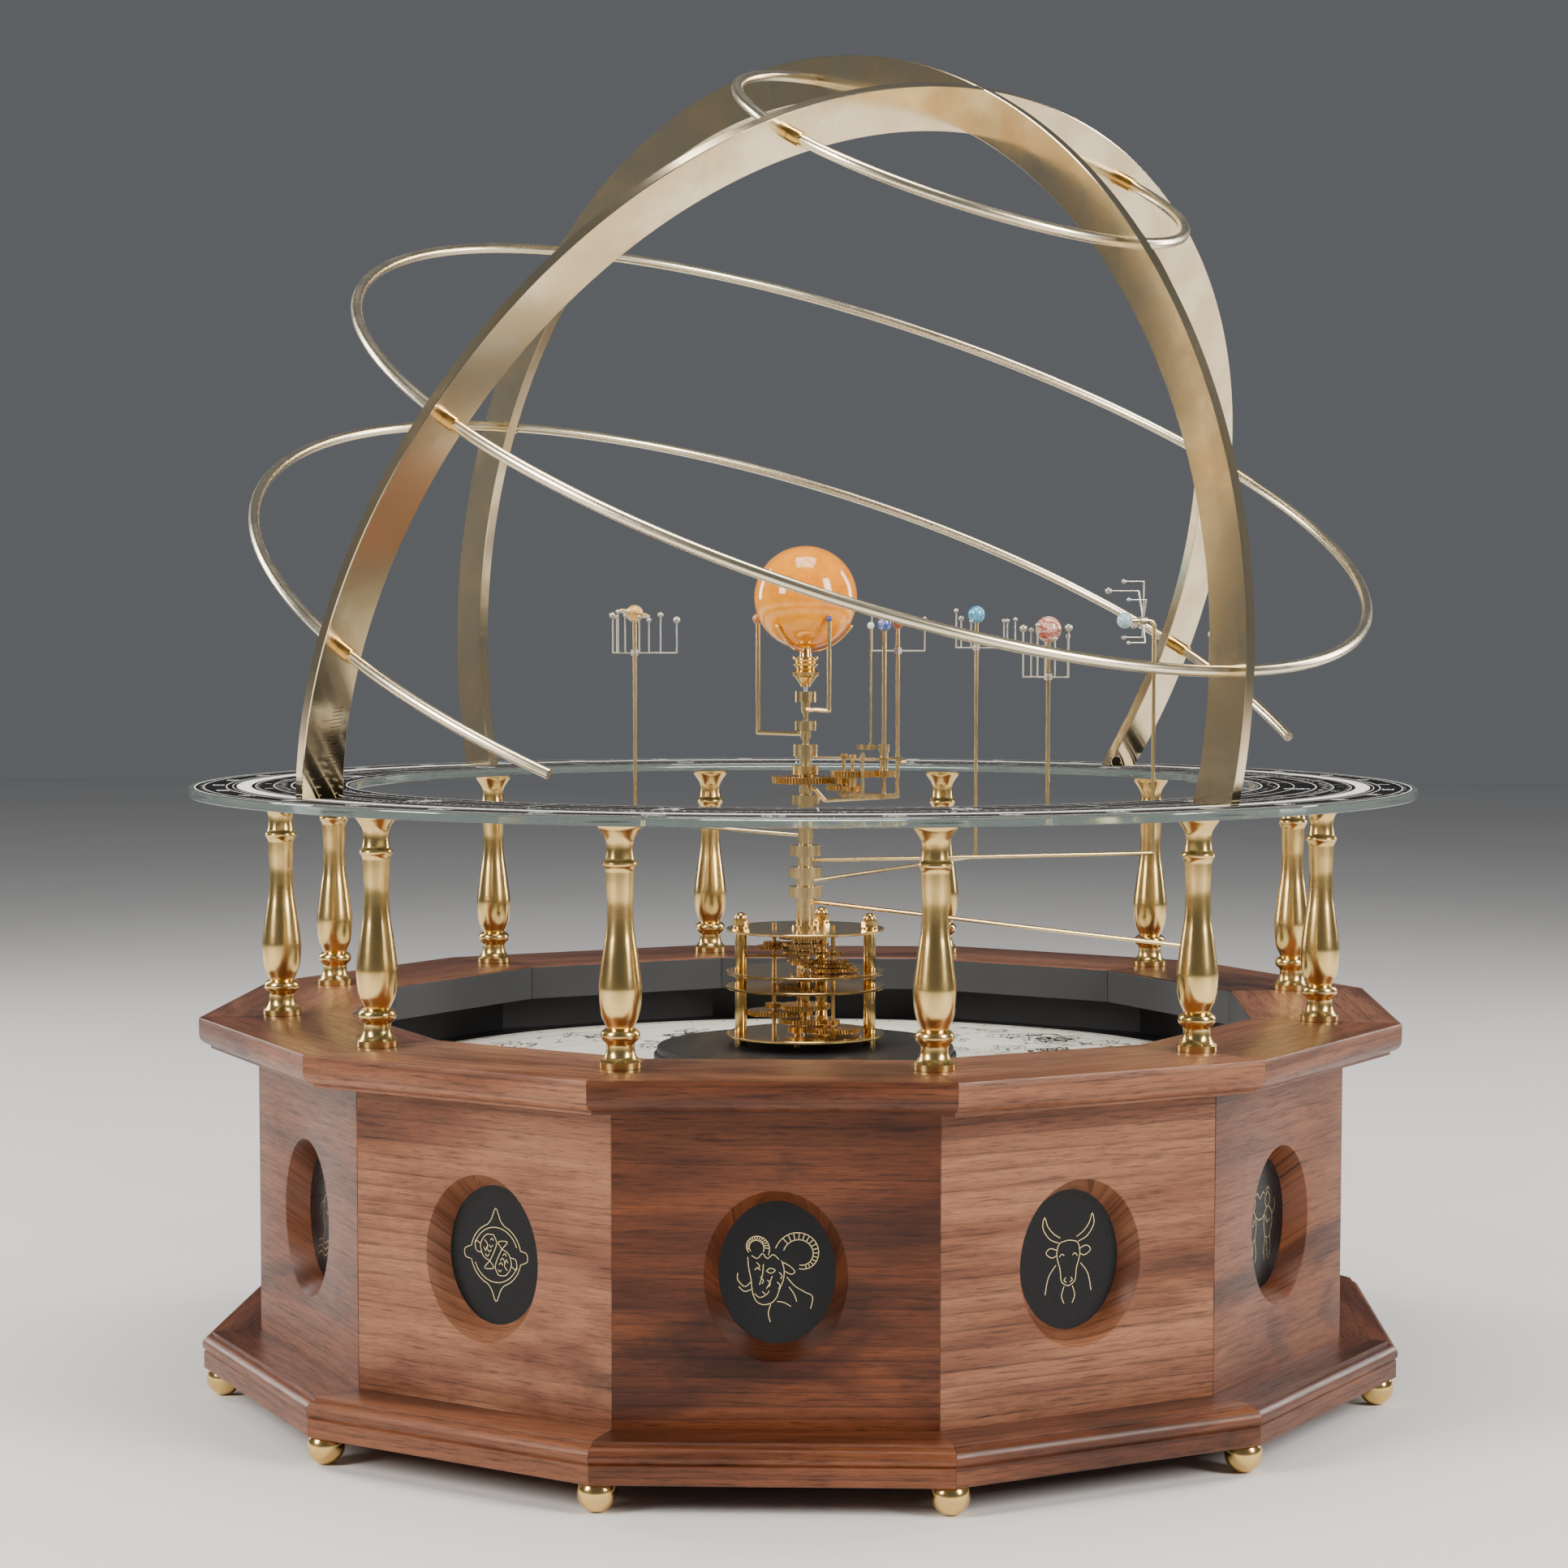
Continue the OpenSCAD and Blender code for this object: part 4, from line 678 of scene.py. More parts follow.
def sign_lines(i):
    """Line drawings of the signs on a field about 2 wide and 2.6 high."""
    if i == 0:
        head = [smooth([(-.60, .31), (-.58, .10), (-.53, -.16), (-.50, -.42), (-.42, -.60), (-.27, -.67),
                        (-.10, -.62), (0, -.50)]),
                smooth([(0, -.50), (.06, -.32), (.13, -.14), (.14, .06), (.09, .24)]),
                smooth([(-.46, -.44), (-.36, -.52), (-.24, -.48)]),
                smooth([(-.30, -.40), (-.22, -.46), (-.16, -.38)]),
                smooth([(-.22, .02), (-.14, .08), (-.04, .04), (-.12, -.02), (-.22, .02)]),
                smooth([(-.46, .04), (-.40, .09), (-.34, .04)]),
                smooth([(-.28, .16), (-.30, -.06), (-.36, -.26)]),
                smooth([(-.10, -.08), (-.16, -.24), (-.22, -.34)]),
                smooth([(-.53, -.20), (-.66, -.30), (-.80, -.16), (-.80, -.02)]),
                smooth([(-.50, -.34), (-.66, -.40), (-.78, -.30)]),
                smooth([(-.13, -.66), (-.18, -.84), (-.14, -1.02)]),
                smooth([(.0, -.60), (.14, -.62), (.28, -.70)]),
                smooth([(.20, -.10), (.36, -.28), (.56, -.40), (.72, -.50), (.68, -.74)]),
                smooth([(.24, -.30), (.34, -.44), (.40, -.60)]),
                smooth([(.12, .20), (.24, .14), (.36, .02), (.28, -.04), (.16, .02)]),
                smooth([(-.52, .34), (-.40, .28), (-.30, .38), (-.20, .28), (-.08, .36), (.04, .26)])]
        head += [smooth([(x, y), (x + .06, y - .07), (x + .03, y - .14)]) for x,
                 y in ((-.42, .2), (-.34, -.1), (-.2, -.16), (0, -.2), (.04, .0))]
        return head + horn(.47, .36, .52, .17, 165, -95) + horn(-.44, .50, .30, .12, -30, 215)
    if i == 1:
        lines = [smooth([(0, .40), (.22, .34), (.28, .10), (.20, -.20), (.16, -.46), (0, -.56)]),
                 smooth([(.10, .08), (.16, .12), (.22, .06)]),
                 smooth([(.24, .36), (.46, .46), (.62, .70), (.58, .92), (.50, .72), (.36, .56), (.20, .46)]),
                 smooth([(.26, .20), (.44, .26), (.54, .16), (.40, .06), (.28, .10)]),
                 smooth([(.06, -.38), (.10, -.44), (.04, -.48)]),
                 smooth([(.30, -.10), (.48, -.34), (.56, -.70)]),
                 smooth([(.10, -.56), (.16, -.76), (.10, -.92)])]
        return mirrored(lines)
    if i == 2:
        lines = [smooth([(.34, .62), (.26, .50), (.28, .36), (.36, .30), (.46, .36), (.50, .50), (.42, .62),
                         (.34, .62)]),
                 smooth([(.34, .30), (.24, .16), (.20, -.10), (.26, -.36), (.20, -.66), (.24, -.86)]),
                 smooth([(.44, .30), (.58, .18), (.62, -.06), (.52, -.30), (.54, -.62), (.48, -.88)]),
                 smooth([(.24, .16), (.08, .06), (0, .08)]), smooth([(.60, .10), (.76, .26), (.72, .46)]),
                 smooth([(.30, .10), (.36, -.04), (.50, .02)]),
                 smooth([(.28, -.34), (.38, -.40), (.50, -.34)]),
                 smooth([(.30, .66), (.38, .74), (.50, .66)]), smooth([(.36, -.44), (.38, -.86)]),
                 smooth([(.02, .52), (.14, .66), (.22, .60)])]
        return mirrored(lines)
    if i == 3:
        lines = [smooth([(0, .34), (.30, .30), (.46, .06), (.38, -.24), (.16, -.40), (0, -.42)]),
                 smooth([(.34, .26), (.52, .44), (.50, .66), (.36, .80), (.30, .62), (.42, .56), (.36, .80)]),
                 smooth([(.46, .02), (.66, .04), (.74, -.14)]),
                 smooth([(.44, -.12), (.62, -.18), (.66, -.36)]),
                 smooth([(.36, -.26), (.52, -.38), (.50, -.56)]), smooth([(.10, .36), (.12, .46)]),
                 smooth([(0, .10), (.18, .06), (.26, -.08)])]
        return mirrored(lines)
    if i == 4:
        mane = [(.62 * math.cos(a * TAU / 30) * (1 + .12 * (a % 2)),
                 .08 + .66 * math.sin(a * TAU / 30) * (1 + .12 * (a % 2))) for a in range(31)]
        lines = [smooth([(0, .40), (.24, .38), (.32, .16), (.22, -.10), (.16, -.28), (0, -.34)]),
                 smooth([(.08, .10), (.16, .15), (.22, .08)]),
                 smooth([(0, -.08), (.09, -.10), (.05, -.20), (0, -.22)]),
                 smooth([(.03, -.24), (.12, -.26)]), smooth([(.26, .36), (.38, .46), (.36, .28)])]
        return mirrored(lines) + [smooth(mane, 3)]
    if i == 5:
        return [smooth([(-.06, .70), (.14, .74), (.26, .56), (.22, .34), (.10, .24), (-.06, .26),
                        (-.16, .44), (-.06, .70)]),
                smooth([(-.10, .66), (-.34, .56), (-.40, .26), (-.30, -.02)]),
                smooth([(.24, .62), (.40, .40), (.40, .10)]),
                smooth([(.0, .24), (-.06, .04), (-.34, -.14), (-.44, -.50), (-.40, -.90)]),
                smooth([(.14, .24), (.22, .06), (.44, -.10), (.50, -.44), (.46, -.90)]),
                smooth([(-.20, -.20), (.0, -.34), (.26, -.22)]),
                smooth([(.44, -.14), (.62, .10), (.60, .44)]),
                smooth([(.60, .44), (.52, .60), (.60, .78), (.68, .60), (.60, .44)]),
                smooth([(.0, -.34), (-.04, -.90)]), smooth([(.02, .48), (.08, .50)])]
    if i == 6:
        lines = [[(0, .60), (.56, .50)], smooth([(.56, .50), (.40, -.02)]), smooth([(.56, .50), (.72, -.02)]),
                 smooth([(.36, -.02), (.46, -.20), (.66, -.20), (.76, -.02), (.36, -.02)]),
                 smooth([(.04, .66), (.06, -.60), (.30, -.74)]),
                 smooth([(0, .80), (.10, .72), (0, .62)])]
        return mirrored(lines) + [[(-.34, -.74), (.34, -.74)], [(-.34, -.80), (.34, -.80)]]
    if i == 7:
        body = [smooth([(0, .34), (.14, .28), (.18, .04), (.12, -.18), (0, -.24)]),
                smooth([(.16, .22), (.36, .40), (.34, .64), (.20, .76), (.16, .58), (.30, .54)]),
                smooth([(.18, .08), (.42, .12), (.52, -.04)]),
                smooth([(.18, -.02), (.40, -.06), (.46, -.22)]),
                smooth([(.12, -.14), (.32, -.22), (.34, -.38)])]
        tail = [smooth([(0, -.24), (.04, -.46), (.20, -.66), (.46, -.66), (.62, -.44), (.56, -.20),
                        (.46, -.12)], 8)]
        tail += [smooth([(x - .06, y + .05), (x, y), (x + .05, y + .07)]) for x,
                 y in ((.02, -.36), (.08, -.52), (.24, -.62), (.42, -.62), (.56, -.48))]
        return mirrored(body) + tail
    if i == 8:
        return [smooth([(-.46, .66), (-.10, .72), (.30, .50), (.52, .14), (.50, -.30)], 8),
                [(-.46, .66), (.0, .10), (.50, -.30)],
                [(-.60, -.60), (.62, .62)], [(.62, .62), (.40, .58)], [(.62, .62), (.58, .40)],
                [(-.60, -.60), (-.62, -.40)], [(-.60, -.60), (-.40, -.62)],
                [(-.50, -.50), (-.52, -.32)], [(-.50, -.50), (-.32, -.52)],
                smooth([(-.38, .60), (-.10, .62), (.24, .42), (.42, .10), (.42, -.22)], 8)]
    if i == 9:
        return [smooth([(-.30, .40), (-.42, .20), (-.56, .02), (-.50, -.12), (-.34, -.06), (-.20, -.10),
                        (-.06, .10)]),
                smooth([(-.30, .40), (-.20, .60), (.10, .78), (.36, .66)]),
                smooth([(-.14, .34), (0, .54), (.20, .62), (.36, .66)]),
                smooth([(-.06, .10), (.02, -.16), (-.10, -.44), (-.04, -.60)]),
                smooth([(-.14, .30), (.16, .16), (.40, -.10), (.44, -.42), (.22, -.66), (-.06, -.70)], 8),
                smooth([(-.06, -.70), (-.30, -.62), (-.36, -.80), (-.18, -.86), (-.06, -.70)]),
                smooth([(-.36, .14), (-.30, .20), (-.24, .14)]),
                smooth([(-.44, -.12), (-.46, -.30), (-.40, -.14)])] + [smooth([(x, y), (x + .06, y - .04),
                        (x + .12, y)]) for x, y in ((.04, -.2), (.16, -.3), (.1, -.42), (.24, -.46))]
    if i == 10:
        waves = [smooth([(-.62 + .2 * k, y + (.05 if k % 2 else -.03)) for k in range(7)]) for y in (-.62,
                -.76, -.90)]
        return waves + [smooth([(-.10, .80), (.08, .82), (.16, .66), (.08, .50), (-.08, .50), (-.16, .66),
                                (-.10, .80)]), smooth([(-.04, .50), (-.20, .36), (-.30, .06), (-.22, -.30),
                                        (-.30, -.56)]),
                        smooth([(.08, .50), (.24, .36), (.28, .06), (.16, -.30), (.20, -.56)]),
                        smooth([(.24, .34), (.44, .26), (.56, .40)]),
                        smooth([(.42, .52), (.56, .56), (.72, .44), (.66, .26), (.50, .24), (.42, .40),
                                (.42, .52)]), smooth([(.62, .26), (.60, -.10), (.52, -.52)]),
                        smooth([(.70, .30), (.70, -.10), (.62, -.52)]),
                        smooth([(-.22, .30), (-.44, .20), (-.52, -.06)]),
                        smooth([(-.10, .10), (.0, .04), (.12, .12)])]
    fish = [smooth([(-.06, .42), (-.26, .40), (-.40, .20), (-.34, -.04), (-.16, -.14)], 8),
            smooth([(-.06, .42), (.02, .26), (-.04, .08), (-.16, -.14)], 8),
            smooth([(-.16, -.14), (-.30, -.30), (-.06, -.28), (-.16, -.14)]),
            smooth([(-.14, .30), (-.10, .34), (-.06, .30)]),
            smooth([(-.40, .20), (-.54, .26), (-.52, .06), (-.38, .02)]),
            smooth([(-.30, .30), (-.22, .20), (-.28, .06)])]
    fish += [smooth([(x, y), (x + .05, y - .05), (x + .10, y)]) for x,
             y in ((-.32, .14), (-.22, .10), (-.28, .0), (-.18, .2))]
    fish += [[(-x, -y) for x, y in line] for line in fish]
    rim = [spiral(0, 0, .66, .66, 12, 70, 20), spiral(0, 0, .66, .66, 110, 168, 20),
           smooth([(.225, .62), (.12, .74), (0, .98), (-.12, .74), (-.225, .62)])]
    rim += [smooth([(.66, .14), (.80, .10), (.82, -.06), (.66, -.14)]), spiral(0, 0, .58, .58, 20, 160, 26)]
    rim += [[(-x, -y) for x, y in line] for line in rim]
    return fish + rim


medals, gold = Shape(), Shape()
for side in range(SIDES):
    w, h = 52.6, 63.6
    n = 72
    outline = [(w / 2 * math.cos(TAU * k / n), h / 2 * math.sin(TAU * k / n)) for k in range(n)]
    stand = turn_z(side * 30) @ at(0, -PANEL_FACE + 10, PORT_Z) @ Matrix.Rotation(math.radians(90), 4, "X")
    v, f = extrude(outline, -3, -0.02)
    medals.join(v, f, stand)
    for line in sign_lines(side):
        pts = [(x * 20.5, y * 20.5) for x, y in line]
        gold.join(*ribbon(pts, 0.26, 0.0), stand)
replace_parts(medals.piece("medallions", MEDAL, "base", "black_medallion"), "zodiac_medallions")
gold.piece("medallion_drawings", GOLD, "base")

# Ball feet with a short collar, and the turned columns
feet = Shape()
for i in range(SIDES):
    x, y = polar(280.5, 15 + 30 * i)
    profile = [(0, 0), (1.5, 0)]
    profile += [(8.25 * math.sin(math.radians(a)), 8.1 - 8.25 * math.cos(math.radians(a))) for a in range(14,
            142, 4)]
    profile += [(4.6, 14.9), (4.6, 15.4), (0, 15.4)]
    v, f = lathe(profile, 48)
    feet.join(v, f, at(x, y, 0))
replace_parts(feet.piece("ball_feet_polished", BRASS, "base", "polished_brass", 40), "ball_feet")


def column_profile():
    top = 282.8 - CROWN_TOP
    foot = [(0, 0), (8.6, 0), (8.9, 0.3), (8.9, 2.9), (8.6, 3.2)]
    cove = smooth([(7.8, 3.8), (6.7, 5.2), (6.1, 6.8), (5.9, 8.8), (6.0, 10.4), (6.8, 11.3)], 3)
    bead = [(6.55 + 1.7 * math.cos(math.radians(a)),
             13.9 + 2.4 * math.sin(math.radians(a))) for a in range(-60, 61, 12)]
    shaft = smooth([(5.7, 17.1), (6.65, 19.2), (7.9, 22), (8.75, 26.5), (9.1, 32.4), (8.95, 35.4), (8.4, 40),
                    (7.4, 47.5), (6.7, 52.2),
                    (6.1, 56), (5.65, 60.6), (5.45, 65), (5.4, 69), (5.6, 73), (5.85, 77.5), (6, 82.6)], 4)
    collar = [(6 + 1.3 * math.cos(math.radians(a)), 85.2 + 1.45 * math.sin(math.radians(a))) for a in range(-60, 61, 15)]
    flare = smooth([(6.1, 87.4), (5.75, 90), (5.65, 92.6), (6, 95.3), (7.65, 98.1), (9, 100), (9.3, 101)], 4)
    return foot + cove + bead + shaft + collar + flare + [(9.3, top - 0.3), (9.0, top), (0, top)]


COLUMN_CIRCLE = 252
columns = Shape()
for i in range(SIDES):
    x, y = polar(COLUMN_CIRCLE, 15 + 30 * i)
    columns.join(*lathe(column_profile(), 40), at(x, y, CROWN_TOP))
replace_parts(columns.piece("turned_columns", TURNED, "base", "polished_brass", 38), "columns")
keep("column_studs", STEEL)

# ---------------------------------------------------------------- glass horizon ring

z0, z1 = 282.8, 286.8
e = 0.35
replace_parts(add("glass_ring", *lathe([(219, z0 + e), (219 + e, z0), (294.4 - e, z0), (294.4, z0 + e),
                                      (294.4, z1 - e),
                                      (294.4 - e, z1), (219 + e, z1), (219, z1 - e)], 192, True), GLASS,
                                      "base", "printed_glass", 20), "horizon_ring")
under = Shape().join(*annulus(219.6, 290.6, z1 + 0.03))
under.piece("ring_print_ground", PRINT_BLACK, "base", "printed_glass")
z = z1 + 0.07
marks = Shape()
marks.join(*annulus(265.0, 271.8, z))
for r, w in ((291.2, 0.5), (287.0, 0.35), (276.6, 0.45), (273.6, 0.3), (263.0, 0.3), (254.6, 0.35),
             (246.4, 0.5), (236.0, 0.3), (228.8, 0.45), (220.6, 0.5)):
    marks.join(*annulus(r - w / 2, r + w / 2, z))
for k in range(720):
    a = k / 2
    long = 4.2 if k % 20 == 0 else 3.0 if k % 10 == 0 else 1.8 if k % 2 == 0 else 1.0
    p, q = polar(287.0, a), polar(287.0 + long * 0.95, a)
    marks.join(*ribbon([p, q], 0.45 if k % 10 == 0 else 0.28, z))
    if k % 2 == 0:
        marks.join(*ribbon([polar(263.0, a), polar(263.0 - (3.2 if k % 20 == 0 else 1.6), a)], 0.3, z))
for k in range(36):
    numeral(marks, str(k * 10), 278.2, k * 10, 4.6, 0.75, z)
for k in range(365):
    a = k * 360 / 365
    marks.join(*ribbon([polar(254.6, a), polar(254.6 - (3.4 if k % 5 == 0 else 1.7), a)], 0.32, z))
for k in range(73):
    a = k * 360 / 73
    if k % 2 == 0:
        numeral(marks, str((k * 5) % 30 + 1), 256.4, a, 3.1, 0.55, z)
for k in range(12):
    marks.join(*ribbon([polar(220.6, k * 30 + 4), polar(246.4, k * 30 + 4)], 0.5, z))
    stand = turn_z(k * 30 + 19 - 90) @ at(0, 237.6, 0) @ Matrix.Scale(8.2, 4)
    for line in sign_lines((k + 5) % 12):
        marks.join(*ribbon(line, 0.075, z / 8.2), stand)
    for j in range(26):
        a = k * 30 + 5.2 + j * 1.06
        r = 248.3 + 2.6 * random.random()
        marks.join(*ribbon([polar(r, a), polar(r + 1.5 + 1.2 * random.random(), a + 0.35)], 0.5, z))
        if j % 2:
            r = 223.0 + 3.6 * random.random()
            marks.join(*ribbon([polar(r, a), polar(r + 1.2, a + 0.5)], 0.45, z))
marks.piece("ring_markings", PRINT_WHITE, "base", "printed_glass")

# ---------------------------------------------------------------- armillary sphere

SPHERE_Z, TILT, AZ, SPHERE_R, ARC_W, ARC_T = 353.4, 25.4, -45, 270, 21, 5.5
TOP = at(0, 0, SPHERE_Z) @ turn_z(AZ) @ Matrix.Rotation(math.radians(TILT), 4, "Y")


def horizon_angle(r, local_dir, sign):
    """The angle from the pole at which an arc's edge of radius r meets the horizon's top face."""
    lo, hi = 60.0, 175.0
    for _ in range(60):
        mid = (lo + hi) / 2
        a = math.radians(mid)
        p = TOP @ Vector((r * math.sin(a) * sign, 0, r * math.cos(a))) if local_dir == "x" else \
            TOP @ Vector((0, r * math.sin(a) * sign, r * math.cos(a)))
        lo, hi = (mid, hi) if p.z > 286.8 else (lo, mid)
    return lo


def arc(name, node, axis):
    """An arc of flat bar that ends on the horizon ring, with eased edges."""
    r0, r1, t, e, n = SPHERE_R - ARC_W / 2, SPHERE_R + ARC_W / 2, ARC_T / 2, 0.35, 150
    section = [(r0 + e, -t), (r1 - e, -t), (r1, -t + e), (r1, t - e), (r1 - e, t), (r0 + e, t), (r0, t - e),
               (r0, -t + e)]
    ends = {s: {r: horizon_angle(r, axis, s) for r in {p[0] for p in section}} for s in (-1, 1)}
    verts, faces = [], []
    for i in range(n + 1):
        u = i / n
        for r, w in section:
            a = math.radians(-ends[-1][r] * (1 - u) + ends[1][r] * u)
            p = (r * math.sin(a), w, r * math.cos(a)) if axis == "x" else (w, r * math.sin(a),
                    r * math.cos(a))
            q = TOP @ Vector(p)
            if i in (0, n):
                q.z = 286.8
            verts.append(tuple(q))
    m = len(section)
    for i in range(n):
        for k in range(m):
            faces.append((i * m + k, i * m + (k + 1) % m, (i + 1) * m + (k + 1) % m, (i + 1) * m + k))
    faces += [tuple(range(m)), tuple(range(n * m, n * m + m))]
    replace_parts(add(name, verts, faces, ARC, "base", "aged_brass", 30), node)


arc("solstice_arc_bar", "solstice_arc", "x")
arc("equinox_arc_bar", "equinox_arc", "y")

scale_marks = Shape()
for k in range(19):
    a = math.radians(103.2 - k * 0.4)
    out, along = Vector((0, -math.sin(a), math.cos(a))), Vector((0, -math.cos(a), -math.sin(a)))
    for side in (-1, 1):
        shift = Vector((side * (ARC_T / 2 + 0.02), 0, 0))
        inner = out * (SPHERE_R - ARC_W / 2 + 4)
        outer = out * (SPHERE_R - ARC_W / 2 + (14 if k % 5 == 0 else 9))
        corners = [inner - along * 0.16, outer - along * 0.16, outer + along * 0.16, inner + along * 0.16]
        scale_marks.join([tuple(TOP @ (c + shift)) for c in corners], [(0, 1, 2, 3)])
scale_marks.piece("arc_scale", DARK_BRASS, "base", "aged_brass")


def hoop(dec, a0, a1, name, node):
    r, h = SPHERE_R * math.cos(math.radians(dec)), SPHERE_R * math.sin(math.radians(dec))
    full = a1 - a0 >= 360
    n = 200
    pts = []
    for i in range(n if full else n + 1):
        a = math.radians(a0 + (a1 - a0) * i / n)
        pts.append(TOP @ Vector((r * math.cos(a), r * math.sin(a), h)))
    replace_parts(add(name, *rod(pts, 2.5, 20, closed=full), ROD, "base", "pale_brass_rod", 40), node)


hoop(0, 66, 296.5, "equator_rod", "equator_hoop")
hoop(23.44, 0, 360, "tropic_rod", "tropic_hoop")
hoop(66.56, 0, 360, "arctic_rod", "arctic_hoop")

sleeves = Shape()
for dec in (0, 23.44, 66.56):
    for a in (0, 90, 180, 270):
        if dec == 0 and a == 0:
            continue
        r, h = SPHERE_R * math.cos(math.radians(dec)), SPHERE_R * math.sin(math.radians(dec))
        start = math.degrees((ARC_T / 2 + 0.03) / (r - 3.4))
        sweep = math.degrees(7 / r)
        side = -1 if a in (90, 180) else 1
        pts = []
        for i in range(7):
            b = math.radians(a + side * (start + sweep * i / 6))
            pts.append(TOP @ Vector((r * math.cos(b), r * math.sin(b), h)))
        outer, faces = rod(pts, 3.35, 24)
        sleeves.join(outer, faces)
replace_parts(sleeves.piece("hoop_sleeves", BRASS, "base", "aged_brass", 40), "hoop_ferrules")

# ---------------------------------------------------------------- star chart and gearbox

keep("star_chart", CREAM)
chart = Shape()
z = 145.03
for r, w in ((214, 1.2), (208, 0.6), (196, 0.5), (160, 0.5), (120, 0.5), (84, 0.6)):
    chart.join(*annulus(r - w / 2, r + w / 2, z, 128))
for k in range(72):
    chart.join(*ribbon([polar(208, k * 5), polar(214, k * 5)], 0.6, z))
for k in range(12):
    chart.join(*ribbon([polar(80, k * 30 + 7), polar(196, k * 30 + 7)], 0.4, z))
for k in range(58):
    r, a = 86 + 110 * math.sqrt(random.random()), random.uniform(0, 360)
    x, y = polar(r, a)
    spin, size = random.uniform(0, 360), random.uniform(11, 19)
    stand = at(x, y, 0) @ turn_z(spin) @ Matrix.Scale(size, 4)
    for line in sign_lines(random.randrange(12)):
        chart.join(*ribbon(line, 0.055, z / size), stand)
    px, py = x, y
    for j in range(5):
        qx, qy = px + random.uniform(-16, 16), py + random.uniform(-16, 16)
        if 80 < math.hypot(qx, qy) < 200:
            chart.join(*ribbon([(px, py), (qx, qy)], 0.35, z))
            chart.join(*dot(qx, qy, random.uniform(0.7, 1.5), z + 0.01))
            px, py = qx, qy
chart.piece("chart_drawing", INK, "base", "chart_print")

base_disc = [(0, 145), (73.4, 145), (74, 145.6), (74, 154.6), (73.2, 155.4), (72.5, 155.4), (72.5, 157.8),
             (71.9, 158.4), (0, 158.4)]
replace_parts(add("mechanism_base", *lathe(base_disc, 96), BLACK, "base", "black_board", 30),
            "mechanism_plinth")

plates = Shape()
for z, bore in ((163.3, 1.0), (186.6, 2.3), (193.9, 1.0), (214.6, 4.3)):
    plates.join(*tube(bore, 38.7, z, z + 1.2, 96, 0.2))
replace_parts(plates.piece("brass_plates", BRASS, "base", "polished_brass", 30), "gearbox_plates")
pillars = Shape()
for a in (184, -4, 78):
    x, y = polar(31.5, a)
    for za, zb in ((158.4, 163.3), (164.5, 186.6), (187.8, 193.9), (195.1, 214.6)):
        profile = soft([(1.2, za), (2.9, za), (2.9, zb), (1.2, zb)], 0.3)
        pillars.join(*lathe(profile, 28), at(x, y, 0))
    pillars.join(*lathe([(0, 158.4), (1.2, 158.4), (1.2, 220.4), (0, 220.4)], 16), at(x, y, 0))
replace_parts(pillars.piece("brass_pillars", TURNED, "base", "polished_brass", 36), "gearbox_pillars")
nuts = Shape()
for a in (184, -4, 78):
    x, y = polar(31.5, a)
    hexagon = [polar(4, 60 * k) for k in range(6)]
    nuts.join(*lathe(soft([(1.2, 215.8), (3.9, 215.8), (3.9, 216.6), (1.2, 216.6)], 0.2), 28), at(x, y, 0))
    nuts.join(*extrude(hexagon, 216.6, 219.2), at(x, y, 0))
    dome = [(0, 219.2), (3.3, 219.2), (3.3, 220.2)] + [(3.3 * math.cos(math.radians(b)),
            220.2 + 3.3 * math.sin(math.radians(b))) for b in range(10, 90, 10)] + [(0, 223.5)]
    nuts.join(*lathe(dome, 32), at(x, y, 0))
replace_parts(nuts.piece("dome_nuts", BRASS, "base", "polished_brass", 30), "acorn_nuts")

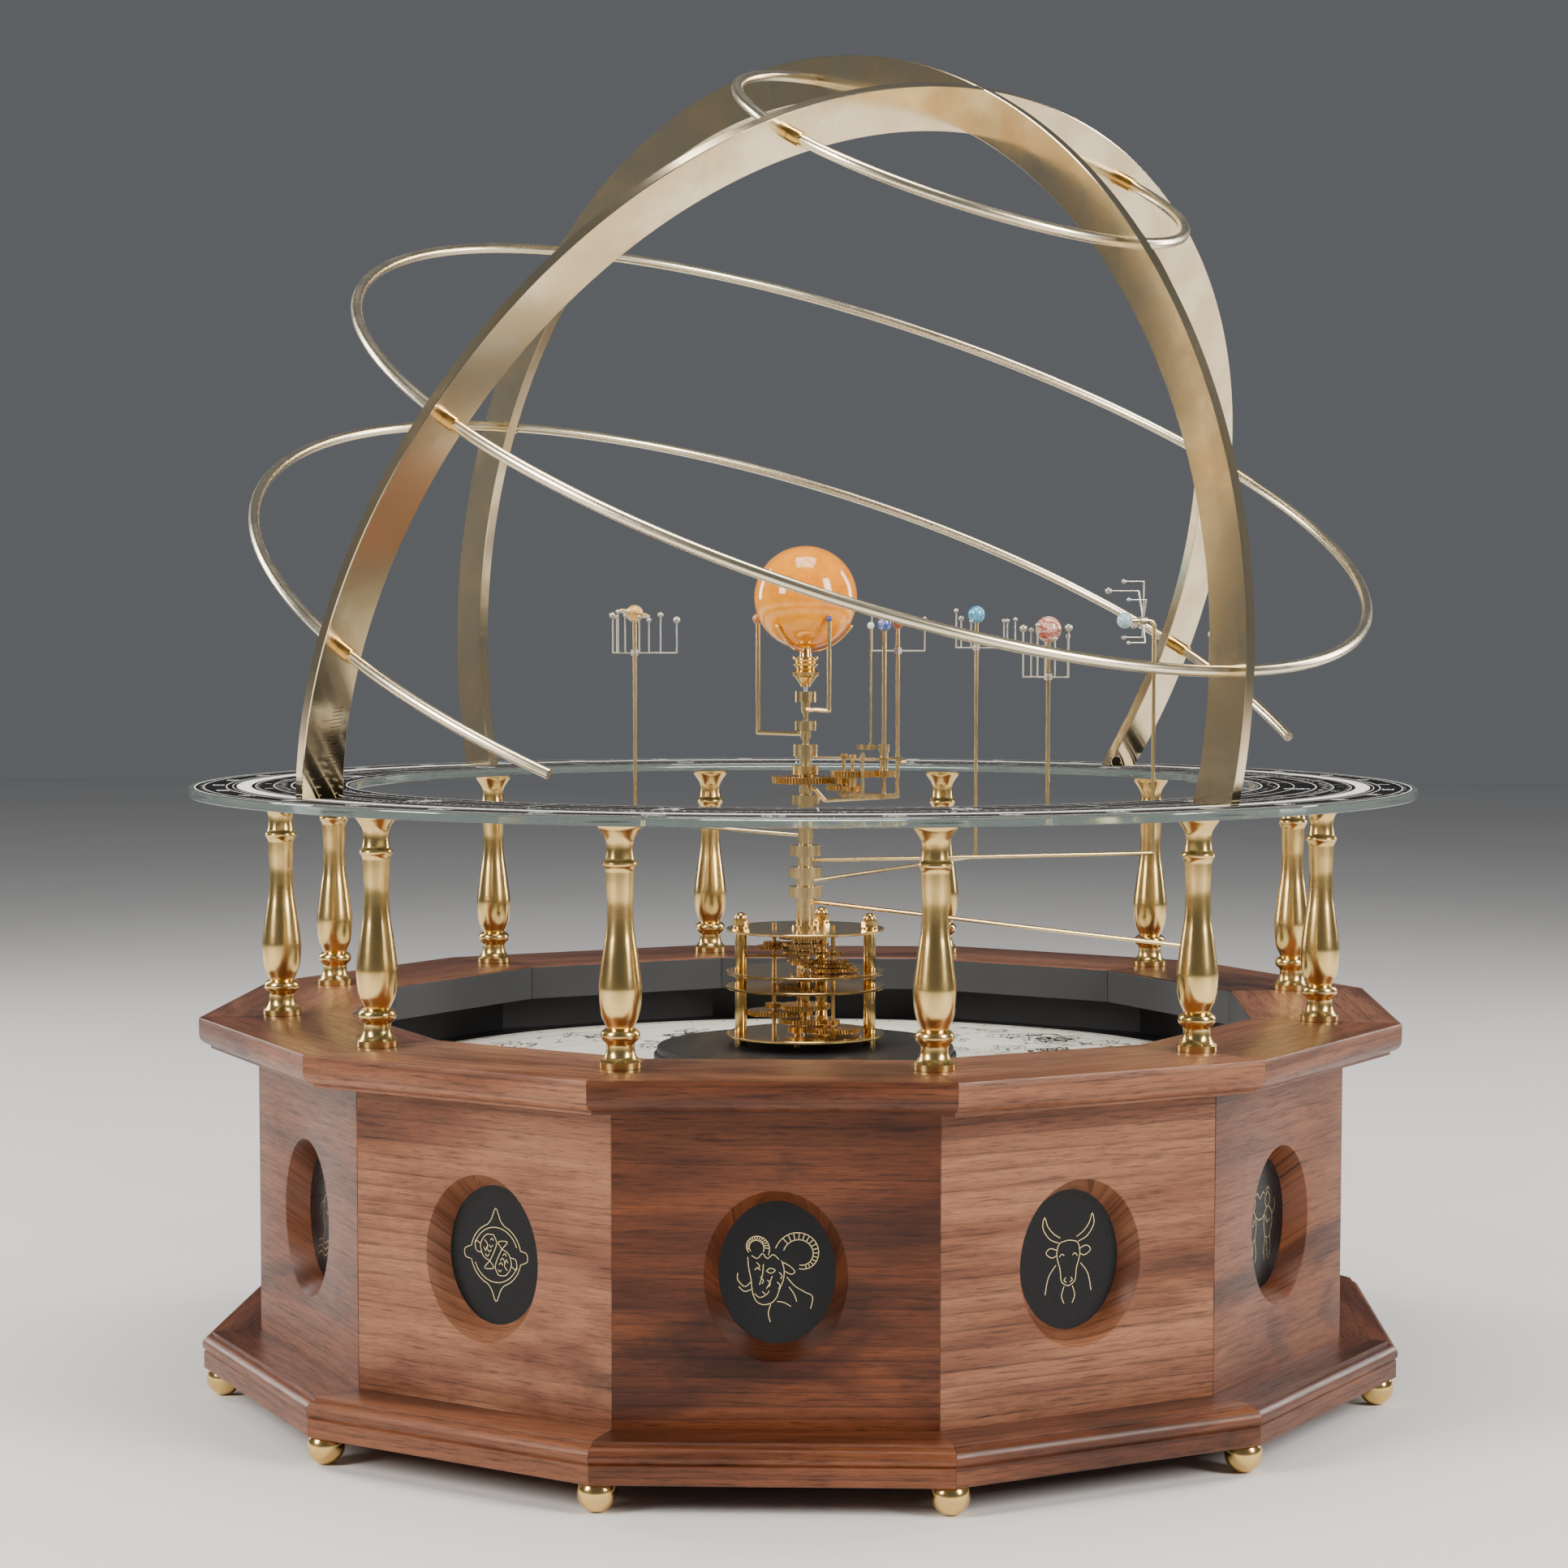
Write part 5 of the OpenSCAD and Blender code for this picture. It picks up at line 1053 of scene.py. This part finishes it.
for node in ("moon_sun_gear", "drive_pinion", "fast_layshaft", "middle_layshaft", "slow_layshaft",
             "fast_idler",
             "slow_idler", "moon_first_gear", "moon_second_gear"):
    keep(node, GEAR)
for node in ("mercury_arm", "venus_arm", "earth_carriage", "moon_arm", "mars_arm", "jupiter_arm",
             "saturn_arm", "uranus_arm",
             "neptune_arm", "pluto_arm", "root_tube"):
    keep(node, ARM)
for node in ("mars_moons", "jupiter_moons", "saturn_moons", "uranus_moons", "neptune_moons"):
    keep(node, WIRE)
for planet in STONES:
    keep(planet + "_ball", STONES[planet], 60)
keep("moon_ball", PEARL, 60)
keep("sun_cup", TURNED, 40)
keep("centre_shaft", STEEL)
keep("drive_motor", MOTOR, bevel=0.4)
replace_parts(add("sun_stone", *ball(0, 0, 376.6, 24.98, 96), SUN, "base", "orange_stone", 60), "sun_ball")

# ---------------------------------------------------------------- floor and light

floor = bpy.data.meshes.new("floor")
floor.from_pydata([(-6, -6, 0), (6, -6, 0), (6, 6, 0), (-6, 6, 0)], [], [(0, 1, 2, 3)])
floor.materials.append(board("floor_paper", (0.78, 0.77, 0.75), 0.75, 20, 0.02))
floor_piece = bpy.data.objects.new("floor", floor)
bpy.context.collection.objects.link(floor_piece)

world = bpy.data.worlds.new("studio")
bpy.context.scene.world = world
world.use_nodes = True
world.node_tree.nodes["Background"].inputs["Color"].default_value = (0.72, 0.75, 0.80, 1)
world.node_tree.nodes["Background"].inputs["Strength"].default_value = 0.16


def area(name, place, target, size, power, colour=(1, 1, 1), height=None):
    data = bpy.data.lights.new(name, "AREA")
    data.energy = power
    data.color = colour
    data.shape = "RECTANGLE"
    data.size = size
    data.size_y = height or size
    lamp = bpy.data.objects.new(name, data)
    bpy.context.collection.objects.link(lamp)
    lamp.location = place
    lamp.rotation_mode = "QUATERNION"
    lamp.rotation_quaternion = (Vector(target) - Vector(place)).to_track_quat("-Z", "Y")


area("key_left", (-1.45, -1.15, 1.15), (0, 0, 0.26), 0.55, 42, (1, 0.96, 0.91), 1.1)
area("key_right", (1.55, -1.05, 1.15), (0, 0, 0.26), 0.55, 46, (1, 0.96, 0.91), 1.1)
area("rim_left", (-1.6, 0.9, 0.9), (0, 0, 0.40), 0.35, 20, (1, 0.98, 0.95), 1.2)
area("rim_right", (1.6, 1.0, 0.9), (0, 0, 0.40), 0.35, 20, (1, 0.98, 0.95), 1.2)
area("top", (0.0, -0.1, 2.0), (0, 0, 0.3), 0.9, 26, (1, 0.98, 0.96))
